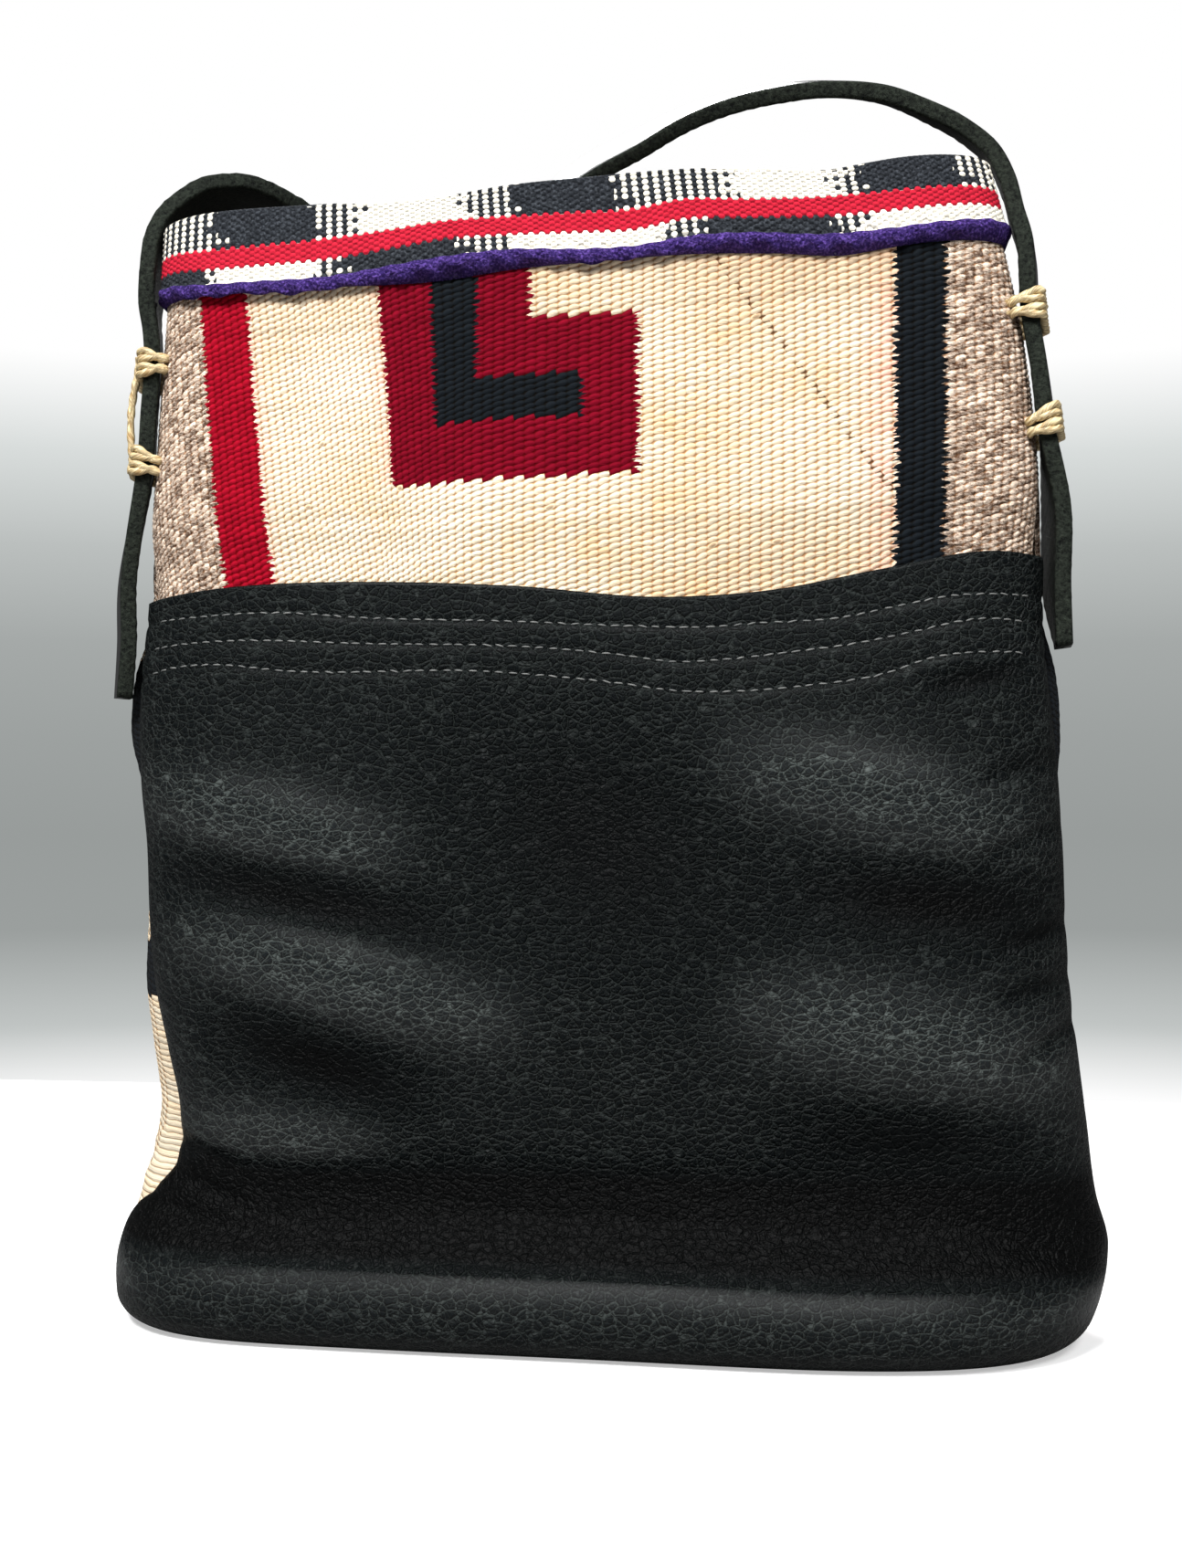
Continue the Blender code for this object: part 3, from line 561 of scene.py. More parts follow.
def front_weave_look(tree):
    """Fields of colour by warp and weft number: stripes at both sides, and a stepped hook between."""
    _, row, away, chance, w, r = beads(tree)
    at = {name: float(warp_at(x)) for name, x in PATTERN_EDGES.items()}
    level = {name: z / WEFT_PITCH for name, z in PATTERN_STEPS.items()}
    teeth = toothed(w, r)
    near_dark, near_stripe, near_hook = [
        1 - (w - at[name]).size().smooth(low, high) for name, low, high in (
            ("dark_left", 0.3, 4.5), ("stripe_right", 0.2, 2.5), ("hook_left", 0.2, 3.0))]
    near_hook = near_hook * (r > level["hook_foot"])
    bleed = near_dark.or_more(near_stripe * 0.7).or_more(near_hook * 0.8)
    cream = cream_at(w, r, chance, 1.6, -0.65)
    cream = mix((bleed * (0.10 + chance * 0.60)).clamped(), cream, PINK)
    right_half = w.smooth(0.0, float(warp_at(0.06)))
    # Painted shadow under the trim's foot, deeper on the right half, and lower down soiling on the right
    # half above the leather.
    soiled_and_shaded = r.smooth(TRIM_SHADOW_FROM / WEFT_PITCH, TRIM_SHADOW_FULL / WEFT_PITCH) * (0.45 + right_half * 0.50)
    clean = r.smooth(SOILED_FOOT / WEFT_PITCH, CLEAN_FROM / WEFT_PITCH)
    soiled_and_shaded = soiled_and_shaded + (1 - clean) * right_half * 0.45
    cream = mix(soiled_and_shaded.clamped(), cream, SOILED_AND_SHADED)
    line = (r - SPECK_LINE / WEFT_PITCH + (w - float(warp_at(SPECK_MIDDLE))) * SPECK_LEAN).size()
    specks = (line < 0.8) * (chance > 0.35) * away.smooth(0.2, 0.8)
    stray = (chance > 0.9975) * (1 - away.smooth(0.1, 0.5))
    cream = mix((specks * 0.9 + stray * 0.6).clamped(), cream, SPECK)
    heather = heather_at(w, r, chance)
    colour = mix(teeth < at["stripe_right"], cream, STRIPE_RED)
    colour = mix(teeth < at["stripe_left"], colour, heather)
    colour = mix(teeth > at["dark_left"], colour, CHARCOAL)
    colour = mix(teeth > at["dark_right"], colour, heather)
    edge_right = at["hook_right"] + (at["upper_right"] - at["hook_right"]) * (row > level["step"])
    in_hook = between(teeth, at["hook_left"], edge_right) * (row > level["hook_foot"])
    colour = mix(in_hook, colour, HOOK_RED)
    in_leg = between(teeth, at["leg_left"], at["leg_right"]) * (row > level["bar_foot"])
    in_bar = between(teeth, at["leg_left"], at["bar_right"])
    in_bar = in_bar * between(row, level["bar_foot"], level["bar_top"])
    colour = mix(in_leg.or_more(in_bar), colour, CHARCOAL)
    return wool(colour, away, chance, w, r, 0.00030, 0.04)


weave = front_weave()
weave.data.materials.append(material("front_weave", front_weave_look))
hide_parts("front_rug")
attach(weave, "root")

# THE BACK WEAVE
# The same tapestry cloth makes the whole back and folds under at the bottom, where it is sewn to
# the leather. Its pattern is guessed: dark bars run in from both sides of a cream field.

SEAM_BEHIND_MIDDLE = 0.008
SEAM_INSET = 0.15


def footed(side, t, z, steps):
    """Points and normals of a face: straight lines from the bottom seam to the rim, then the wall.

    The seam's x is the rim's drawn in by a share, and its y is a parabola of the x share.
    """
    rim = wall(side, t, 0 * t)
    left, right = half_widths(0 * t)
    share = np.sin(math.pi / 2 * t)
    forward, _ = belly(share, 0 * t)
    x = (right - left) / 2 + (right + left) / 2 * share * (1 - SEAM_INSET)
    y = SEAM_BEHIND_MIDDLE * (1 - share**2) - forward * share**2 + side * GAP / 2
    seam = np.stack([x, y, 0 * t], axis=-1)
    under = seam + (rim - seam) * np.linspace(0, 1, steps, endpoint=False)[:, None, None]
    down = np.broadcast_to([0.0, 0.0, -1.0], under.shape)
    return [np.concatenate(pair) for pair in zip((under, down), face_at(side, t, z))]


def wall_rows(top, edge_count, count):
    """Heights: evenly along the quarter circle of the rounded edge, then evenly to the top."""
    edge = BOTTOM_ROUNDING * (1 - np.cos(np.linspace(0, math.pi / 2, edge_count)))
    share = np.linspace(0, 1, count + 1)[1:, None]
    return np.concatenate([np.repeat(edge[:, None], len(top), 1),
                           BOTTOM_ROUNDING + share * (top - BOTTOM_ROUNDING)])


CORD_RELIEF = 0.00045
ROW_RELIEF = 0.0001
SHEET_COLUMNS, SHEET_ROWS, SHEET_INNER_ROWS = 330, 215, 40
BACK_FOOT_ROWS = 10
WEFTS_UNDER = 24


def back_weave():
    """Upright cords with the weft rows across them: the cords are shape, the weft's beads are bump."""
    t = across(SHEET_COLUMNS)
    rows = wall_rows(cloth_top(1, t), BACK_FOOT_ROWS, SHEET_ROWS)
    face, normal = footed(1, t, rows, BACK_FOOT_ROWS)
    numbers = weave_chart(face)
    under = np.linspace(-WEFTS_UNDER, 0, BACK_FOOT_ROWS, endpoint=False)
    numbers[:BACK_FOOT_ROWS, :, 1] = under[:, None]
    from_middle = 2 * np.abs(numbers[..., 0] - np.floor(numbers[..., 0] + 0.5))
    furrow = 0.5 + 0.5 * np.cos(np.pi * numbers[..., 1])
    rise = -CORD_RELIEF * from_middle**2 - ROW_RELIEF * furrow
    return sheet("back_weave", face, normal, rise, CLOTH_THICKNESS, SHEET_INNER_ROWS, "weave", numbers)


# Distances from the middle and heights of the back's fields of colour.
BARS_FROM, HEATHER_FROM = 0.070, 0.098
HEATHER_FOOT = 0.205
DARK_BARS = ((0.148, 0.192), (0.095, 0.111))
RED_TOP = 0.014


def back_weave_look(tree):
    """A cream field with dark bars from both sides, heather above them and red at the foot."""
    column, row, away, chance, w, r = beads(tree)
    colour = cream_at(w, r, chance, 0.5, -0.1)
    from_middle = column.size()
    at_side = (from_middle > float(warp_at(HEATHER_FROM))) * (row > HEATHER_FOOT / WEFT_PITCH)
    colour = mix(at_side, colour, heather_at(w, r, chance))
    upper, lower = [between(row, low / WEFT_PITCH, high / WEFT_PITCH) for low, high in DARK_BARS]
    colour = mix(upper.or_more(lower) * (from_middle > float(warp_at(BARS_FROM))), colour, CHARCOAL)
    colour = mix(row < RED_TOP / WEFT_PITCH, colour, STRIPE_RED)
    return wool(colour, away, chance, w, r, 0.00045, 0.15)


back = back_weave()
back.data.materials.append(material("back_weave", back_weave_look))
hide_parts("back_rug")
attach(back, "root")

# THE LEATHER
# The lower front and half of the bottom is one piece of thick soft black leather with a pebbled
# grain. It laps over the weave, three rows of machine stitching hold it there, and it sags in
# soft creases above a full roll at the foot.

# Ridges and hollows: the ends of each, its reach to the sides and how far it stands out.
FOLDS = ((-0.118, 0.149, -0.055, 0.134, 0.01, 0.0017), (-0.11, 0.126, -0.045, 0.114, 0.008, -0.0012),
         (-0.105, 0.11, -0.025, 0.088, 0.01, 0.0018), (-0.095, 0.083, -0.05, 0.068, 0.009, -0.0012),
         (-0.105, 0.056, -0.06, 0.054, 0.008, 0.0012), (0.045, 0.156, 0.112, 0.141, 0.011, 0.0017),
         (0.065, 0.122, 0.12, 0.118, 0.009, -0.0012), (0.05, 0.092, 0.118, 0.078, 0.012, 0.0019),
         (0.06, 0.058, 0.112, 0.056, 0.009, -0.0008), (-0.02, 0.15, 0.03, 0.12, 0.025, -0.0008),
         (0.092, 0.176, 0.116, 0.181, 0.0032, -0.0009), (0.1, 0.15, 0.124, 0.158, 0.003, -0.0006),
         (0.106, 0.132, 0.126, 0.14, 0.0026, -0.0006), (0.11, 0.108, 0.13, 0.114, 0.0026, -0.0007),
         (0.108, 0.094, 0.131, 0.1, 0.0026, -0.0007), (0.112, 0.078, 0.134, 0.088, 0.0028, -0.0007),
         (-0.118, 0.052, -0.098, 0.046, 0.0026, -0.0008), (-0.116, 0.043, -0.094, 0.036, 0.0024, -0.0009),
         (-0.128, 0.036, -0.095, 0.03, 0.002, -0.0008), (0.1, 0.036, 0.138, 0.024, 0.003, -0.001),
         (-0.05, 0.03, 0.06, 0.0285, 0.0022, 0.0004), (-0.03, 0.0355, 0.09, 0.033, 0.0022, -0.0004))


def folds(x, z):
    """A sum over the folds: how far out, times the exponential of -(distance / reach)^2."""
    total = np.zeros(x.shape)
    for x0, z0, x1, z1, reach, out in FOLDS:
        dx, dz = x1 - x0, z1 - z0
        along = np.clip(((x - x0) * dx + (z - z0) * dz) / (dx * dx + dz * dz), 0, 1)
        away = np.hypot(x - x0 - along * dx, z - z0 - along * dz)
        total += out * np.exp(-((away / reach) ** 2)) * np.sin(np.pi * (0.15 + 0.7 * along))
    return total


STITCH_ROWS = (
    ((-0.1244, 0.1965), (-0.11, 0.1971), (-0.084, 0.1978), (-0.058, 0.196), (-0.019, 0.1946),
     (0.0155, 0.193), (0.033, 0.1926), (0.047, 0.1935), (0.068, 0.1947), (0.084, 0.1979),
     (0.098, 0.2006), (0.11, 0.2013), (0.1226, 0.2012)),
    ((-0.1265, 0.1885), (-0.11, 0.1899), (-0.099, 0.1903), (-0.058, 0.189), (-0.01, 0.1874),
     (0.0096, 0.1855), (0.026, 0.1834), (0.0376, 0.1839), (0.056, 0.1858), (0.074, 0.1882),
     (0.087, 0.1909), (0.106, 0.1947), (0.1216, 0.194)),
    ((-0.1265, 0.1809), (-0.116, 0.1831), (-0.102, 0.1838), (-0.082, 0.1819), (-0.024, 0.1811),
     (-0.01, 0.18), (0.0096, 0.1779), (0.0257, 0.1757), (0.045, 0.1756), (0.061, 0.177),
     (0.079, 0.1797), (0.093, 0.1843), (0.107, 0.1859), (0.1216, 0.1857)))
STITCH_GROOVE = 0.00045
STITCH_GROOVE_REACH = 0.0011
SLOW_SWELL = 0.0004
FOOT_EASE = 0.02


def leather_form(x, z):
    """Folds, less the deepest of the stitch rows' grooves, plus a slow product of sines.

    A groove is the exponential of minus its squared distance. All of it fades out at the foot.
    """
    grooves = [np.exp(-(((z - smooth_through(row, x)) / STITCH_GROOVE_REACH) ** 2)) for row in STITCH_ROWS]
    slow = SLOW_SWELL * np.sin(55 * x + 31 * z) * np.sin(47 * z - 20 * x + 1.3)
    return (folds(x, z) - STITCH_GROOVE * np.max(grooves, axis=0) + slow) * np.clip(z / FOOT_EASE, 0, 1)


LEATHER_FOOT_ROWS = 14
CREASE_HEIGHT, CREASE_REACH = 0.0350, 0.0090
ROLL_HEIGHT, ROLL_REACH, ROLL_SLOPE = 0.0165, 0.0055, -0.010
FOLD_FULL = 0.0026


def leather():
    """The first number of the map "form" is how full the leather is, 0 to 1.

    It grows with the folds and the roll and falls in the crease. Roll and crease are exponentials
    of minus the squared distance from their height. It scales the leather's colour too: painted
    shade in the crease and hollows, painted highlight on the ridges and the roll.
    """
    t = across(SHEET_COLUMNS)
    edge = smooth_through(LEATHER_TOP, x_at(-1, t, LEATHER_TOP_LEVEL))
    face, normal = footed(-1, t, wall_rows(edge, LEATHER_FOOT_ROWS, SHEET_ROWS), LEATHER_FOOT_ROWS)
    x, z = face[..., 0], face[..., 2]
    crease = np.exp(-(((z - CREASE_HEIGHT) / CREASE_REACH) ** 2))
    roll = np.exp(-(((z - ROLL_HEIGHT - ROLL_SLOPE * x) / ROLL_REACH) ** 2))
    # This number scales the leather's colour: painted shade in the crease and hollows, painted highlight on
    # the ridges and the roll.
    full = np.clip(0.45 + folds(x, z) / FOLD_FULL + 0.25 * roll - 1.5 * crease, 0, 1)
    return sheet("leather", face, normal, leather_form(x, z), LEATHER_THICKNESS, SHEET_INNER_ROWS,
                 "form", np.stack([full, x], axis=-1))


def leather_look(tree):
    """Grain: pebbles of two sizes, deep and glossy where the leather is full, faint in its hollows; painted
    highlight on the rims between them, painted shade in the hollows and the crease.
    """
    here = place_on(tree)
    x, y, z = split(here)
    full = chart(tree, "form")[0]
    bend = texture("Noise", here, Scale=230.0, out=1)
    moved = node(tree, "ShaderNodeVectorMath", {"operation": "MULTIPLY_ADD"},
                 {0: bend, 1: (0.0020, 0.0020, 0.0020), 2: here})
    stretched = node(tree, "ShaderNodeVectorMath", {"operation": "MULTIPLY"},
                     {0: moved, 1: (1.0, 1.0, 1.25)})
    large, small = [
        node(tree, "ShaderNodeTexVoronoi", {"feature": "DISTANCE_TO_EDGE"},
             {"Vector": stretched, "Scale": cells}).smooth(0.0, reach)
        for cells, reach in ((350.0, 0.17), (640.0, 0.18))]
    broad = texture("Noise", here, Scale=45.0, Detail=3.0)
    fine = texture("Noise", here, Scale=1500.0, Detail=3.0)
    wrinkled = texture("Noise", vector(x * 900.0, y * 900.0, z * 160.0), Scale=1.0)
    depth = ((full * 1.25 - 0.05) * (0.45 + broad * 1.1)).clamped(0.15, 1.3)
    grain = (large + small * 0.45) * depth + fine * 0.12 + wrinkled * (1 - full) * 0.35
    # Painted highlight: the rims between the pebbles are lighter, as where they catch the light.
    rim_highlight = (1 - large).or_more((1 - small) * 0.35) * depth
    colour = mix(rim_highlight.clamped(), rgb(10, 16, 18), rgb(68, 74, 72))
    # The colour is scaled by the fullness: painted shade in the hollows and the crease, painted highlight on
    # the ridges and the roll.
    return dict(Base_Color=shade(colour, 0.05 + full), Normal=bump(grain, 0.00150),
                Roughness=0.50 - full * 0.10 + broad * 0.06, Specular_IOR_Level=0.07,
                Coat_Weight=(full * 1.3 - 0.52).clamped(0.0, 0.45), Coat_Roughness=0.36)


hide = leather()
hide.data.materials.append(material("black_leather", leather_look))
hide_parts("front_leather")
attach(hide, "root")

# THE STITCHES
# Gray waxed thread, machine sewn through the leather and the weave in three rows: short dashes
# whose ends go down into their holes.

STITCH_PITCH = 0.0036
STITCH_LENGTH = 0.0027
THREAD_RADIUS = 0.00024
# Standard deviations of a stitch's place, of its length's share and of its tilt.
PLACE_CHANCE, LENGTH_CHANCE, TILT_CHANCE = 0.00018, 0.06, 0.00012


def on_leather(x, z):
    """Points and normals of the leather's face: t is the inverse of the wall's sine at this x."""
    left, right = half_widths(z)
    t = np.arcsin(np.clip((x - (right - left) / 2) * 2 / (right + left), -1, 1)) * 2 / math.pi
    face, normal = face_at(-1, t, z)
    return face + normal * leather_form(x, z)[..., None], normal


def swept(path, wide, through, a, b):
    """Rings of points along a path: a times the direction wide and b times the direction through."""
    return path[..., None, :] + a[..., None] * wide[..., None, :] + b[..., None] * through[..., None, :]


def stitches():
    """Capsules of six rings of six points, whose ends dip by the fourth power of the half length."""
    share = np.array([-1.0, -0.85, -0.35, 0.35, 0.85, 1.0])
    radius = THREAD_RADIUS * np.array([0.35, 0.8, 1.0, 1.0, 0.8, 0.35])[:, None]
    angle = np.linspace(0, 2 * np.pi, 6, endpoint=False)
    chance = np.random.default_rng(5)
    found = []
    for row in STITCH_ROWS:
        fine = np.linspace(row[0][0] + 0.003, row[-1][0] - 0.002, 3000)
        run = running(on_leather(fine, smooth_through(row, fine))[0])
        middles = np.arange(STITCH_LENGTH, run[-1] - STITCH_LENGTH, STITCH_PITCH)
        middles += chance.normal(0, PLACE_CHANCE, len(middles))
        half = STITCH_LENGTH / 2 * chance.normal(1, LENGTH_CHANCE, len(middles))
        x = np.interp(middles[:, None] + half[:, None] * share, run, fine)
        z = smooth_through(row, x) + chance.normal(0, TILT_CHANCE, (len(middles), 1)) * share
        place, normal = on_leather(x, z)
        place = place + normal * (THREAD_RADIUS * (0.5 - 1.9 * share**4))[None, :, None]
        beside = np.cross(unit(np.gradient(place, axis=1)), normal)
        found.append(swept(place, beside, normal, radius * np.cos(angle), radius * np.sin(angle)))
    return solid("stitches", np.concatenate(found), {})


def thread_look(tree):
    """Two grays, mixed by a noise."""
    wear = texture("Noise", place_on(tree), Scale=220.0)
    return dict(Base_Color=mix(wear.clamped(), rgb(56, 59, 60), rgb(120, 121, 118)), Roughness=0.6)


sewn = stitches()
sewn.data.materials.append(material("thread", thread_look))
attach(sewn, "root")

# THE TRIM
# A narrow woven band, folded over the mouth of the bag and sewn through: two stripes of
# resist-dyed warp on both sides of a red line, and a purple roll of stitches along its foot.

BAND_DEPTH = 0.0235
BAND_INSIDE = 0.020
BAND_ROLL = 0.0009
BAND_ROLL_HEIGHT = 0.0040
FOLD_UNDER = 0.0018
FACE_ROWS = 52


def trim_section():
    """(distance out, distance below the mouth) round the band's section, and how many points show.

    The face bulges by a half sine at its foot, and half an ellipse leads over the mouth.
    """
    face, back = GAP + BAND_THICKNESS, -CLOTH_THICKNESS - GAP
    lining = back - BAND_THICKNESS
    below = np.linspace(BAND_DEPTH, BAND_THICKNESS, FACE_ROWS)
    share = np.clip((BAND_DEPTH - below) / BAND_ROLL_HEIGHT, 0, 1)
    front = np.stack([face + BAND_ROLL * np.sin(np.pi * share), below], axis=-1)
    turn = np.linspace(0, np.pi, 13)[1:-1]
    over = np.stack([(face + lining) / 2 + (face - lining) / 2 * np.cos(turn),
                     BAND_THICKNESS * (1 - np.sin(turn))], axis=-1)
    inside = np.stack([np.full(10, lining), np.linspace(BAND_THICKNESS, BAND_INSIDE, 10)], axis=-1)
    under = [(back, BAND_INSIDE), (back, BAND_INSIDE / 2), (back, FOLD_UNDER), (GAP, FOLD_UNDER),
             (GAP, BAND_DEPTH / 2), (GAP, BAND_DEPTH)]
    return np.concatenate([front, over, inside, under]), len(front) + len(over) + len(inside)


RED_LEVEL = 0.0099
# Along the front: x, the height of the trim's foot and the height of its red line's middle.
TRIM_LINES = ((-0.125, 0.2892, 0.2984), (-0.121, 0.289, 0.2983), (-0.106, 0.287, 0.2972),
              (-0.092, 0.2865, 0.2972), (-0.07, 0.2866, 0.2983), (-0.05, 0.2895, 0.3008),
              (-0.04, 0.2908, 0.3023), (-0.02, 0.2928, 0.3027), (0, 0.2918, 0.303),
              (0.015, 0.2923, 0.3031), (0.028, 0.2942, 0.3055), (0.047, 0.295, 0.305),
              (0.064, 0.2935, 0.3051), (0.084, 0.2951, 0.3063), (0.098, 0.2974, 0.3078),
              (0.112, 0.2996, 0.3092), (0.125, 0.3004, 0.3098))
TRIM_LINES_LEVEL = HEIGHT * 0.93
EVEN_FROM_SEAM = 0.3


def trim_lines(side, t, top):
    """Heights of the foot and of the red line: wavy in front, and soon even behind the side seams."""
    x = x_at(side, t, TRIM_LINES_LEVEL)
    place, *heights = np.array(TRIM_LINES).T
    foot, red = [smooth_through(np.c_[place, height], x) for height in heights]
    if side > 0:
        share = np.clip((1 - np.abs(t)) / EVEN_FROM_SEAM, 0, 1)
        foot = foot + (top - BAND_DEPTH - foot) * share
        red = red + (top - BAND_DEPTH + RED_LEVEL - red) * share
    return foot, red


TRIM_BEAD_WIDE, TRIM_BEAD_HIGH = 0.36, 0.56


def plain_lattices(s, r):
    """Two lattices of beads half a bead apart: column, row, height and share of dye of each.

    A bead's height is 1 - (columns away / wide)^2 - (rows away / high)^2.
    """
    found = []
    for start in (0.0, 0.5):
        column, row = whole(s + start), whole(r + start)
        off, level = s + start - column - 0.5, r + start - row - 0.5
        height = 1 - (off / TRIM_BEAD_WIDE) ** 2 - (level / TRIM_BEAD_HIGH) ** 2
        found.append((column - start, row - start, height, 0.25 + start))
    return found


TRIM_COLUMNS = 520
TRIM_WARP = 0.0014
TRIM_WEFT = 0.0029
TRIM_RELIEF = 0.0003
TRIM_LEVELS = 0.0215
ROLL_LUMPS, ROLL_TWIST = 0.00035, 0.0011


def trim():
    """A closed band round the mouth, its columns evenly spaced along it.

    Beads raise the two stripes, and the roll's lumps are a sine over length and height.
    """
    section, shown = trim_section()
    rings, charts, run = [], [], 0.0
    for side in (-1, 1):
        t = across(TRIM_COLUMNS + 1)[:-1] * -side
        top = mouth(x_at(side, t, HEIGHT))
        foot, red = trim_lines(side, t, top)
        in_face = np.arange(len(section))[:, None] < FACE_ROWS
        z = top - section[:, 1:] * np.where(in_face, (top - foot) / BAND_DEPTH, 1.0)
        base, normal = face_at(side, t, z)
        s = run + running(base[FACE_ROWS - 1])
        run = 2 * s[-1] - s[-2]
        low = (z - foot) / (red - foot) * RED_LEVEL
        high = RED_LEVEL + (z - red) / (top - red) * (TRIM_LEVELS - RED_LEVEL)
        level = np.where(z < red, low, high)
        level[FACE_ROWS:shown] = TRIM_LEVELS + np.linspace(0.0005, 0.022, shown - FACE_ROWS)[:, None]
        level[shown:] = 0
        s = np.broadcast_to(s, z.shape)
        one, other = plain_lattices(s / TRIM_WEFT, level / TRIM_WARP)
        beads_rise = np.clip(np.maximum(one[2], other[2]), 0, 1) * TRIM_RELIEF
        lumps = ROLL_LUMPS * np.sin(s / ROLL_TWIST + 900 * level)
        relief = np.where(level < BAND_ROLL_HEIGHT, lumps, beads_rise)
        relief[shown:] = 0
        points = base + normal * (section[:, :1] + relief)[..., None]
        points[0, :, 2] += 0.0004 * np.sin(s[0] / 0.0016) + 0.0003 * np.sin(s[0] / 0.0043)
        rings.append(points.transpose(1, 0, 2))
        charts.append(np.stack([s / TRIM_WEFT, level / TRIM_WARP], axis=-1).transpose(1, 0, 2))
    return solid("trim", np.concatenate(rings), {"weave": np.concatenate(charts)}, closed=True)


# Where the warp of the upper and of the lower stripe is dark (1), half dyed (0.5) or white (0).
UPPER_DYE = ((-0.1059, 0.5), (-0.1033, 1), (-0.0734, 0.5), (-0.0644, 0), (-0.0345, 0.4),
             (-0.0186, 1), (0.0101, 0.6), (0.0372, 0), (0.0652, 0.5), (0.076, 1), (0.1023, 0.5),
             (0.1082, 0.2))
LOWER_DYE = ((-0.125, 1), (-0.1078, 0), (-0.076, 0.5), (-0.0682, 1), (-0.035, 0.5),
             (-0.0224, 0), (0.02, 0.5), (0.0311, 1), (0.0664, 0.5), (0.0724, 0))


def dye(x, zones):
    """Darkness of the warp along the band, in steps over its width."""
    stops = [(0.0, (zones[0][1],) * 3)]
    stops += [((at + HALF_WIDTH) / (2 * HALF_WIDTH), (dark,) * 3) for at, dark in zones]
    ramp = node(x.tree, "ShaderNodeValToRGB", {"stops": stops}, {"Fac": (x + HALF_WIDTH) / (2 * HALF_WIDTH)})
    ramp.socket.node.color_ramp.interpolation = "CONSTANT"
    return ramp


PURPLE_TOP, RED_FOOT, RED_LINE_TOP = 0.0033, 0.0076, 0.0120


def trim_look(tree):
    """Every bead is all dark or all white. Where the dye fades, one of the two lattices is white."""
    s, r = chart(tree, "weave")
    here = place_on(tree)
    one, other = plain_lattices(s, r)
    first = one[2] > other[2]
    column, row, bead, share = [b + (a - b) * first for a, b in zip(one, other)]
    bead = bead.clamped()
    chance = texture("WhiteNoise", column * 5.3, row * 2.7)
    ragged = split(here)[0] + (texture("WhiteNoise", row * 3.1) - 0.5) * 0.007 + (chance - 0.5) * 0.003
    upper, lower = dye(ragged, UPPER_DYE), dye(ragged, LOWER_DYE)
    dyed = mix(r > RED_LINE_TOP / TRIM_WARP, lower, upper)
    dark = (dyed > share).or_more((bead < 0.30) * (dyed > 0.25))
    fuzz = ((texture("Noise", here, Scale=1400.0, Detail=3.0) - 0.45) * 4).clamped()
    colour = mix(dark, rgb(240, 234, 218), mix(fuzz, rgb(28, 31, 36), rgb(62, 66, 72)))
    in_red = between(row + 0.5, RED_FOOT / TRIM_WARP, RED_LINE_TOP / TRIM_WARP)
    colour = mix(in_red, colour, rgb(182, 26, 48))
    purple = r < PURPLE_TOP / TRIM_WARP
    colour = mix(purple, colour, mix(fuzz, rgb(38, 22, 78), rgb(96, 70, 150)))
    fibre = texture("Noise", s * 8.0, r * 3.0, Scale=1.0, Detail=3.0, Roughness=0.7)
    # Painted shade: the colour darkens between the beads, but not in the purple roll.
    furrow = (0.35 + bead.smooth(0.0, 0.45) * 0.65).or_more(purple)
    tone = furrow * (0.88 + chance * 0.24) * (0.82 + fibre * 0.36)
    height = bead + fibre * 0.5 + fuzz * (0.25 + purple * 0.75)
    return dict(Base_Color=shade(colour, tone), Roughness=0.9, Normal=bump(height, 0.00035),
                Specular_IOR_Level=0.15)


band = trim()
band.data.materials.append(material("woven_trim", trim_look))
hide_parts("mouth_band")
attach(band, "root")

# THE STRAP
# One strip of thick leather, glossy grain outside and fuzzy flesh inside. It is tied to both
# sides, loops over the left end of the mouth, hangs down behind and arches over the right.

STRAP_WIDTH = 0.019
STRAP_THICKNESS = 0.0045
STRAP_CLEARANCE = 0.0007
LEFT_TURN = 20
RIGHT_TURN = 12


def cloth_at(side, z, y):
    """Distances from the middle plane to the bag's face at its left (-1) or right (1): x read at y."""
    t = side * np.linspace(0.3, 1, 500)
    level = np.full_like(t, z)
    edge = np.concatenate([wall(-1, t, level), wall(1, t[::-1], level)])
    return np.interp(y, edge[:, 1], side * edge[:, 0])


def strap_frame(side, z, clear=0.0, more=0):
    """Where the strap lies against the bag's side: its middle, and its directions across and out.

    Its back edge stands farther out than its front edge, and it rests on the cloth's highest point.
    """
    turn = math.radians((LEFT_TURN if side < 0 else RIGHT_TURN) + more)
    sine, cosine = math.sin(turn), math.cos(turn)
    w = np.linspace(-STRAP_WIDTH / 2, STRAP_WIDTH / 2, 21)
    h = STRAP_THICKNESS / 2
    face = cloth_at(side, z, w * cosine + h * sine)
    x = np.max(face - w * sine) + h * cosine + STRAP_CLEARANCE + clear
    return np.array([side * x, 0.0]), np.array([side * sine, cosine]), np.array([side * cosine, -sine])


def strap_on_side(side, z, clear=0.0, more=0):
    turn = (LEFT_TURN if side < 0 else RIGHT_TURN) + more
    return (strap_frame(side, z, clear, more)[0][0], 0.0, z, turn)


STRAP_RISE = 0.035
LOOP_RISE = 0.0176
HANG_CLEARANCE = 0.034
BEHIND_BACK = 0.003
HANGING_LEGS = (0.037, 0.089)
# Distances below the mouth's ends: of the upper lashing, the lower lashing and the strap's end.
LEFT_LASHINGS = (0.040, 0.0675)
RIGHT_LASHINGS = (0.0415, 0.0725)
LEFT_TAIL = 0.135
RIGHT_TAIL = 0.133


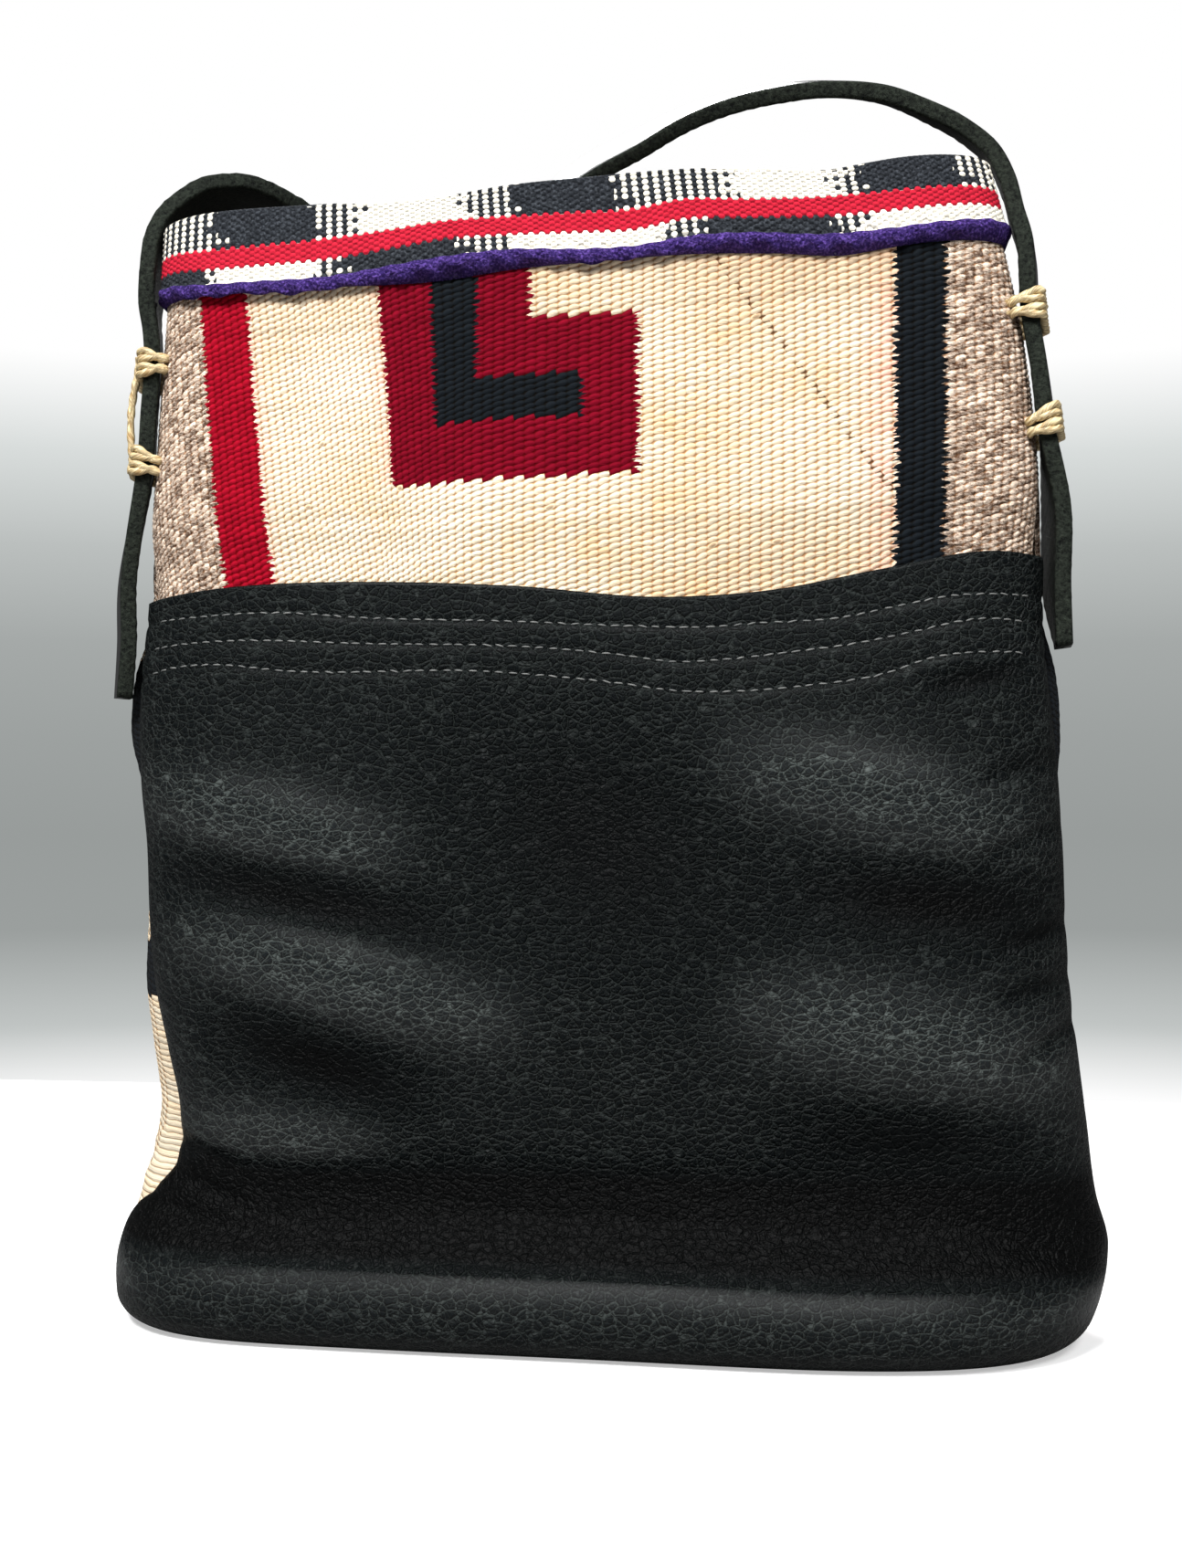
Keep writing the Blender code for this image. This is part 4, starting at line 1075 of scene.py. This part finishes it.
def strap_route():
    """The strap's middle line, from the left tail over the bag, down behind it and up to the right.

    The fourth number of a point turns the strip about its own line, in degrees.
    """
    def bend(x, z, points):
        """Points of the route, given as distances from x and z."""
        return [(x + aside, y, z + up, turn) for aside, y, up, turn in points]

    hang = BACK_DEPTH * max(share for _, share in BACK_OUTLINE) + BEHIND_BACK + STRAP_WIDTH / 2
    left_mouth, right_mouth = mouth(-HALF_WIDTH), mouth(HALF_WIDTH)
    arch, half_way = HEIGHT + STRAP_RISE, HEIGHT * 0.55
    left_x, right_x = -half_widths(HEIGHT)[0], half_widths(HEIGHT)[1]
    leg_left, leg_right = [left_x + place for place in HANGING_LEGS]
    left_tail, left_upper, left_lower = [left_mouth - d for d in (LEFT_TAIL, *LEFT_LASHINGS)]
    right_tail, right_upper, right_lower = [right_mouth - d for d in (RIGHT_TAIL, *RIGHT_LASHINGS)]
    return [
        strap_on_side(-1, left_tail, -0.0004, 5),
        strap_on_side(-1, left_tail + 0.016, 0.0016, 6),
        strap_on_side(-1, (left_tail + left_lower) / 2, 0.0030, 5),
        strap_on_side(-1, left_lower),
        strap_on_side(-1, (left_upper + left_lower) / 2),
        strap_on_side(-1, left_upper),
        *bend(left_x, left_mouth, (
            (-0.0066, 0.0, -0.0310, 17), (-0.0076, 0.0004, -0.0225, 14), (-0.0070, 0.0014, -0.0120, 10),
            (-0.0060, 0.0034, -0.0030, 7), (-0.0033, 0.0060, 0.0044, 5), (0.0013, 0.0090, 0.0103, 4))),
        *bend(left_x, left_mouth + LOOP_RISE, (
            (0.0062, 0.0120, -0.0030, 4), (0.0117, 0.0153, -0.0008, 2), (0.0168, 0.0188, 0.0, 2),
            (0.0235, 0.0252, -0.0010, 0), (0.0300, 0.0330, -0.0040, 0))),
        *bend(leg_left, left_mouth, (
            (-0.0012, 0.0392, 0.0040, 0), (0.0, hang, -0.012, 0), (0.0, hang, -0.050, 0))),
        (leg_left, hang, half_way, 0),
        *bend(leg_left, HANG_CLEARANCE, ((0.001, hang, 0.055, 0), (0.009, hang, 0.012, 0))),
        ((leg_left + leg_right) / 2, hang, HANG_CLEARANCE + STRAP_THICKNESS / 2, 0),
        *bend(leg_right, HANG_CLEARANCE, ((-0.009, hang, 0.012, 0), (-0.001, hang, 0.055, 0))),
        (leg_right, hang, half_way, 0),
        *bend(leg_right, HEIGHT, ((0.001, hang, -0.045, 6), (0.005, hang, -0.006, 16))),
        *bend(leg_right, arch, (
            (0.014, 0.0405, -0.022, 30), (0.027, 0.0377, -0.0129, 36), (0.044, 0.0327, -0.0065, 36),
            (0.059, 0.026, -0.0022, 33), (0.075, 0.0207, 0.0, 28))),
        *bend(right_x, arch, (
            (-0.0496, 0.0174, 0.0007, 26), (-0.0376, 0.0142, -0.0010, 24), (-0.0259, 0.0114, -0.0045, 21),
            (-0.0152, 0.0093, -0.0102, 18))),
        *bend(right_x, right_mouth, (
            (-0.0057, 0.0079, 0.0131, 16), (0.0025, 0.0068, 0.0052, 14),
            (0.0068, 0.0051, -0.0043, RIGHT_TURN), (0.0091, 0.0032, -0.0146, RIGHT_TURN),
            (0.0112, 0.0014, -0.0240, RIGHT_TURN))),
        strap_on_side(1, right_upper),
        strap_on_side(1, (right_upper + right_lower) / 2),
        strap_on_side(1, right_lower),
        strap_on_side(1, right_lower - 0.024, 0.0012, -14),
        strap_on_side(1, right_tail + 0.016, 0.0010, -13),
        strap_on_side(1, right_tail, 0.0008, -3),
    ]


def smooth_path(route, count):
    """Points an even distance apart on a cubic through the route's points, and the cubic's length."""
    route = np.array(route, float)
    chord = np.sqrt(np.linalg.norm(np.diff(route[:, :3], axis=0), axis=1))
    place = np.concatenate([[0], np.cumsum(chord)])
    fine = np.linspace(0, place[-1], 4000)
    curve = np.stack([smooth_through(np.c_[place, column], fine) for column in route.T], axis=-1)
    run = running(curve[:, :3])
    even = np.linspace(0, run[-1], count)
    return np.stack([np.interp(even, run, column) for column in curve.T], axis=-1), run[-1]


STRAP_CORNER = 0.0009


def strap_section():
    """(across, outward) round the strip, its corners quarter circles, and each point's kind.

    The kind runs 0 on the flesh side, 0.5 on the edges and 1 on the grain side.
    """
    w, h, c = STRAP_WIDTH / 2, STRAP_THICKNESS / 2, STRAP_CORNER
    arc = np.linspace(0, np.pi / 2, 4)
    corner = np.stack([w - c + c * np.cos(arc), h - c + c * np.sin(arc)], axis=-1)
    top = np.stack([np.linspace(w - c, -w + c, 7)[1:-1], np.full(5, h)], axis=-1)
    half = np.concatenate([corner, top, corner[::-1] * (-1, 1)])
    points = np.concatenate([half, half[::-1] * (1, -1)])
    kind = 0.5 + 0.5 * np.clip(points[:, 1] / (h - c * 0.35), -1, 1) * (np.abs(points[:, 0]) < w - c * 0.6)
    return points, kind


STRAP_RINGS = 620
FLESH_FUZZ = 0.0001


def strap():
    """The section at every ring, level to the front and back and then turned about the middle line.

    On the flesh side it is roughened by a sine over length and width.
    """
    section, kind = strap_section()
    route, length = smooth_path(strap_route(), STRAP_RINGS)
    path, turn = route[:, :3], np.radians(route[:, 3:])
    forward = unit(np.gradient(path, axis=0))
    level = unit(np.array([0.0, 1.0, 0.0]) - forward * forward[:, 1:2])
    wide = level * np.cos(turn) + np.cross(forward, level) * np.sin(turn)
    across_it, out = section.T
    s = np.linspace(0, length, STRAP_RINGS)[:, None]
    fuzz = FLESH_FUZZ * np.sin(s * 2100 + across_it * 900) * (kind < 0.6)
    rings = swept(path, wide, np.cross(forward, wide), across_it, out + fuzz)
    return solid("strap_leather", rings, {"side": np.stack(np.broadcast_arrays(s, kind), axis=-1)})


def strap_look(tree):
    """Coated and smooth on the grain side, matt and fuzzy on the edges and the flesh side, which is darkened
    as painted shade.
    """
    kind = chart(tree, "side")[1]
    here = place_on(tree)
    fuzz = texture("Noise", here, Scale=900.0, Detail=4.0, Roughness=0.75)
    slow = texture("Noise", here, Scale=90.0, Detail=3.0)
    grain = kind.smooth(0.70, 0.80)
    flesh = mix(((fuzz - 0.35) * 2.2).clamped(), rgb(5, 7, 6), rgb(51, 57, 49))
    # Painted shade: the flesh side is darkened to about a third, the edges keep their colour.
    flesh = shade(flesh, (0.75 + slow * 0.5) * (kind * 1.4 + 0.3).clamped())
    return dict(Base_Color=mix(grain, flesh, rgb(12, 16, 15)), Roughness=0.85 - grain * 0.52,
                Normal=bump(fuzz * (1.15 - grain) + slow * 0.4, 0.00055), Specular_IOR_Level=0.10,
                Coat_Weight=grain * 0.6, Coat_Roughness=0.3)


strip = strap()
strip.data.materials.append(material("strap_leather", strap_look))
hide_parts("strap")
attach(strip, "root")

# THE LASHINGS
# Waxed linen cord, two twisted strands about 2 mm thick. It goes to and fro round the strap and
# through the cloth on both sides of it, twice on each side of the bag.

CORD_RADIUS = 0.00115
CORD_TWIST = 0.008
CORD_POINTS = 12


def cord(name, centre):
    """A tube of two twisted strands: its radius swells with the cosine of twice the turning angle."""
    path, length = smooth_path(centre, len(centre) * 7)
    forward = unit(np.gradient(path, axis=0))
    beside = unit(np.cross(forward, [0.0, 0.0, 1.0]))
    angle = np.linspace(0, 2 * np.pi, CORD_POINTS, endpoint=False)
    s = np.linspace(0, length, len(path))[:, None]
    turn = angle - 2 * np.pi * s / CORD_TWIST
    radius = CORD_RADIUS * (0.91 + 0.11 * np.cos(2 * turn))
    rings = swept(path, beside, np.cross(beside, forward), radius * np.cos(angle), radius * np.sin(angle))
    charts = np.stack(np.broadcast_arrays(s / 0.001, turn / (2 * np.pi)), axis=-1)
    return solid(name, rings, {"cord": charts})


BESIDE_STRAP = 0.00005


def strap_beside(side, z):
    """Where the strap's middle line passes the bag's left (-1) or right (1) side at height z."""
    path, _ = smooth_path(strap_route(), 600)
    run = path[(side * path[:, 0] > 0) & (np.abs(path[:, 1]) < BESIDE_STRAP)]
    run = run[np.argsort(run[:, 2])]
    return np.array([np.interp(z, run[:, 2], run[:, 0]), 0.0])


LASHING_STRANDS = 4
STRAND_PITCH = 0.00216
PRESSED_RADIUS = CORD_RADIUS * 0.9
INTO_CLOTH = (0.0006, 0.0030)
CROSSING_RISE = 0.0010


def lashing(name, side, below, slope):
    """The cord's path round the strap, from inside the cloth in front to inside the cloth behind."""
    z = mouth(side * HALF_WIDTH) - below
    _, across_it, out = strap_frame(side, z)
    reach, h = STRAP_WIDTH / 2 + PRESSED_RADIUS, STRAP_THICKNESS / 2
    top = h + PRESSED_RADIUS
    half = [(-reach + 0.0002, -h - 0.0014), (-reach, -h), (-reach, top - 0.0012),
            (-reach + 0.0009, top - 0.0001), (-0.004, top)]
    half += [(-a, b) for a, b in half[::-1]]
    centre = []
    for strand in range(LASHING_STRANDS):
        level = z + (strand - (LASHING_STRANDS - 1) / 2) * STRAND_PITCH
        middle = strap_beside(side, level)
        loop = [middle + a * across_it + b * out for a, b in half]
        for end, last in ((-1, 0), (1, -1)):
            y = loop[last][1] * 0.70
            x = cloth_at(side, level, np.array([y]))[0]
            for deeper in INTO_CLOTH:
                inside = np.array([side * (x - deeper), y + end * deeper * 0.3])
                loop = [inside] + loop if end < 0 else loop + [inside]
        forth = strand % 2 == 0
        for x, y in loop if forth else loop[::-1]:
            inner = min(max((abs(middle[0]) - h - abs(x)) / 0.003, 0), 1)
            rise = CROSSING_RISE * inner * (1 if forth == (y < 0) else -1)
            rise += slope * (abs(x) - abs(middle[0])) - 0.3 * inner * (level - z)
            centre.append((x, y, level + rise))
    return cord(name, centre)


def cord_look(tree):
    """Fibres along the strands, and painted shade in the groove between the two."""
    s, turn = chart(tree, "cord")
    fibre = texture("Noise", s * 0.25, turn * 12.0, Scale=1.0, Detail=3.0)
    twice = turn * 2
    # Painted shade: the colour darkens in the groove between the strands.
    groove_shade = (twice - twice.floor() - 0.5).size().smooth(0.22, 0.5)
    colour = mix((fibre * 2.6 - 0.85).clamped(), rgb(150, 118, 70), rgb(240, 222, 176))
    return dict(Base_Color=shade(colour, 1 - groove_shade * 0.35), Roughness=0.5, Normal=bump(fibre, 0.00015))


waxed = material("waxed_cord", cord_look)
for name, side, below, slope in (("tie_left_upper", -1, LEFT_LASHINGS[0], 0.0),
                                 ("tie_left_lower", -1, LEFT_LASHINGS[1], 0.25),
                                 ("tie_right_upper", 1, RIGHT_LASHINGS[0], 0.1),
                                 ("tie_right_lower", 1, RIGHT_LASHINGS[1], 0.35)):
    tie = lashing(name + "_cord", side, below, slope)
    tie.data.materials.append(waxed)
    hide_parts(name)
    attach(tie, "root")

RUN_CLEAR = CORD_RADIUS + 0.0004
RUN_PAST = 0.003
RUN_BOW = 0.0012
RUN_FORWARD = 0.003

# The left lower lashing's cord also comes up outside the strap to the upper one.
top, foot = [mouth(-HALF_WIDTH) - below for below in LEFT_LASHINGS]
run = []
for z in np.linspace(foot - RUN_PAST, top + RUN_PAST, 9):
    _, across_it, out = strap_frame(-1, z)
    bow = RUN_BOW * math.sin(math.pi * min(max((z - foot) / (top - foot), 0), 1))
    place = strap_beside(-1, z) + (STRAP_THICKNESS / 2 + RUN_CLEAR + bow) * out - RUN_FORWARD * across_it
    run.append((*place, z))
tie = cord("tie_left_run_cord", run)
tie.data.materials.append(waxed)
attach(tie, "root")

# THE VIEW
# The camera stands level, a little to the right of the bag's front. The ground is a pale sheet,
# and behind it a gray band fades to white above.

EYE_HEIGHT = 0.151
EYE_DISTANCE = 0.450
EYE_AZIMUTH = math.radians(6.0)
VIEW_LENS = 36.57
VIEW_WIDE = 36.0
SKY_LIGHT = 0.10
FLOOR_SIDE, FLOOR_FRONT, FLOOR_BACK = 1.5, -1.8, 0.33

camera = bpy.data.objects.new("camera", bpy.data.cameras.new("camera"))
bpy.context.scene.collection.objects.link(camera)
camera.location = (EYE_DISTANCE * math.sin(EYE_AZIMUTH), -EYE_DISTANCE * math.cos(EYE_AZIMUTH), EYE_HEIGHT)
camera.rotation_euler = (math.pi / 2, 0, EYE_AZIMUTH)
camera.data.lens = VIEW_LENS
camera.data.sensor_width = VIEW_WIDE
bpy.context.scene.camera = camera
bpy.context.scene.view_settings.view_transform = "Standard"


def lamp(name, place, towards, size, power):
    data = bpy.data.lights.new(name, "AREA")
    data.shape, data.size, data.energy = "DISK", size, power
    made = bpy.data.objects.new(name, data)
    made.location = place
    aim = np.array(towards, float) - np.array(place, float)
    yaw = math.atan2(-aim[0], aim[1])
    made.rotation_euler = (math.acos(-aim[2] / np.linalg.norm(aim)), 0, yaw)
    bpy.context.scene.collection.objects.link(made)


lamp("left_front", (-0.32, -0.82, 1.20), (0, 0, 0.15), 0.45, 32)
lamp("behind", (-0.15, 0.70, 0.85), (0, 0, 0.33), 0.40, 9)
lamp("right_front", (0.50, -0.90, 1.10), (0, 0, 0.15), 0.45, 12)

world = bpy.data.worlds.new("studio")
bpy.context.scene.world = world
world.use_nodes = True
sky = world.node_tree
sky.nodes.clear()
heading = node(sky, "ShaderNodeTexCoord")
height = node(sky, "ShaderNodeSeparateXYZ", None, {0: heading}, 2)
# Heights of the line of sight and the grays there, which lean a little to cyan.
GRAYS = ((-0.185, 255), (-0.143, 196), (-0.087, 158), (-0.030, 155), (0.028, 160), (0.085, 168),
         (0.141, 190), (0.196, 220), (0.249, 255))
stops = [(h + 0.5, rgb(g, g, g) if g == 255 else rgb(g - 3, g + 1, g)) for h, g in GRAYS]
# Only the camera sees the grays. An even weak light falls on the bag.
backdrop = node(sky, "ShaderNodeValToRGB", {"stops": stops}, {"Fac": height + 0.5})
shown = node(sky, "ShaderNodeBackground", None, {"Color": backdrop, "Strength": 1.0})
light = node(sky, "ShaderNodeBackground", None, {"Color": (1.0, 1.0, 1.0), "Strength": SKY_LIGHT})
to_camera = node(sky, "ShaderNodeLightPath")
both = node(sky, "ShaderNodeMixShader", None, {0: to_camera, 1: light, 2: shown})
node(sky, "ShaderNodeOutputWorld", None, {0: both})


def floor_look(tree):
    """Matt white that glows a little."""
    return dict(Base_Color=(0.80, 0.80, 0.80, 1), Roughness=0.8, Specular_IOR_Level=0.0,
                Emission_Color=(1, 1, 1, 1), Emission_Strength=0.45)


ground = bpy.data.meshes.new("floor")
corners = [(-FLOOR_SIDE, FLOOR_FRONT, 0), (FLOOR_SIDE, FLOOR_FRONT, 0), (FLOOR_SIDE, FLOOR_BACK, 0),
           (-FLOOR_SIDE, FLOOR_BACK, 0)]
ground.from_pydata(corners, [], [(0, 1, 2, 3)])
floor = bpy.data.objects.new("floor", ground)
bpy.context.scene.collection.objects.link(floor)
white = material("floor", floor_look)
tree = white.node_tree
# Only the camera sees it. The bag gets its light from a duller sheet.
dim = node(tree, "ShaderNodeBsdfDiffuse", None, {"Color": (0.30, 0.30, 0.30)})
bright = Wire(tree, tree.nodes["Principled BSDF"].outputs[0])
shown = node(tree, "ShaderNodeMixShader", None, {0: node(tree, "ShaderNodeLightPath"), 1: dim, 2: bright})
tree.links.new(shown.socket, tree.nodes["Material Output"].inputs["Surface"])
ground.materials.append(white)
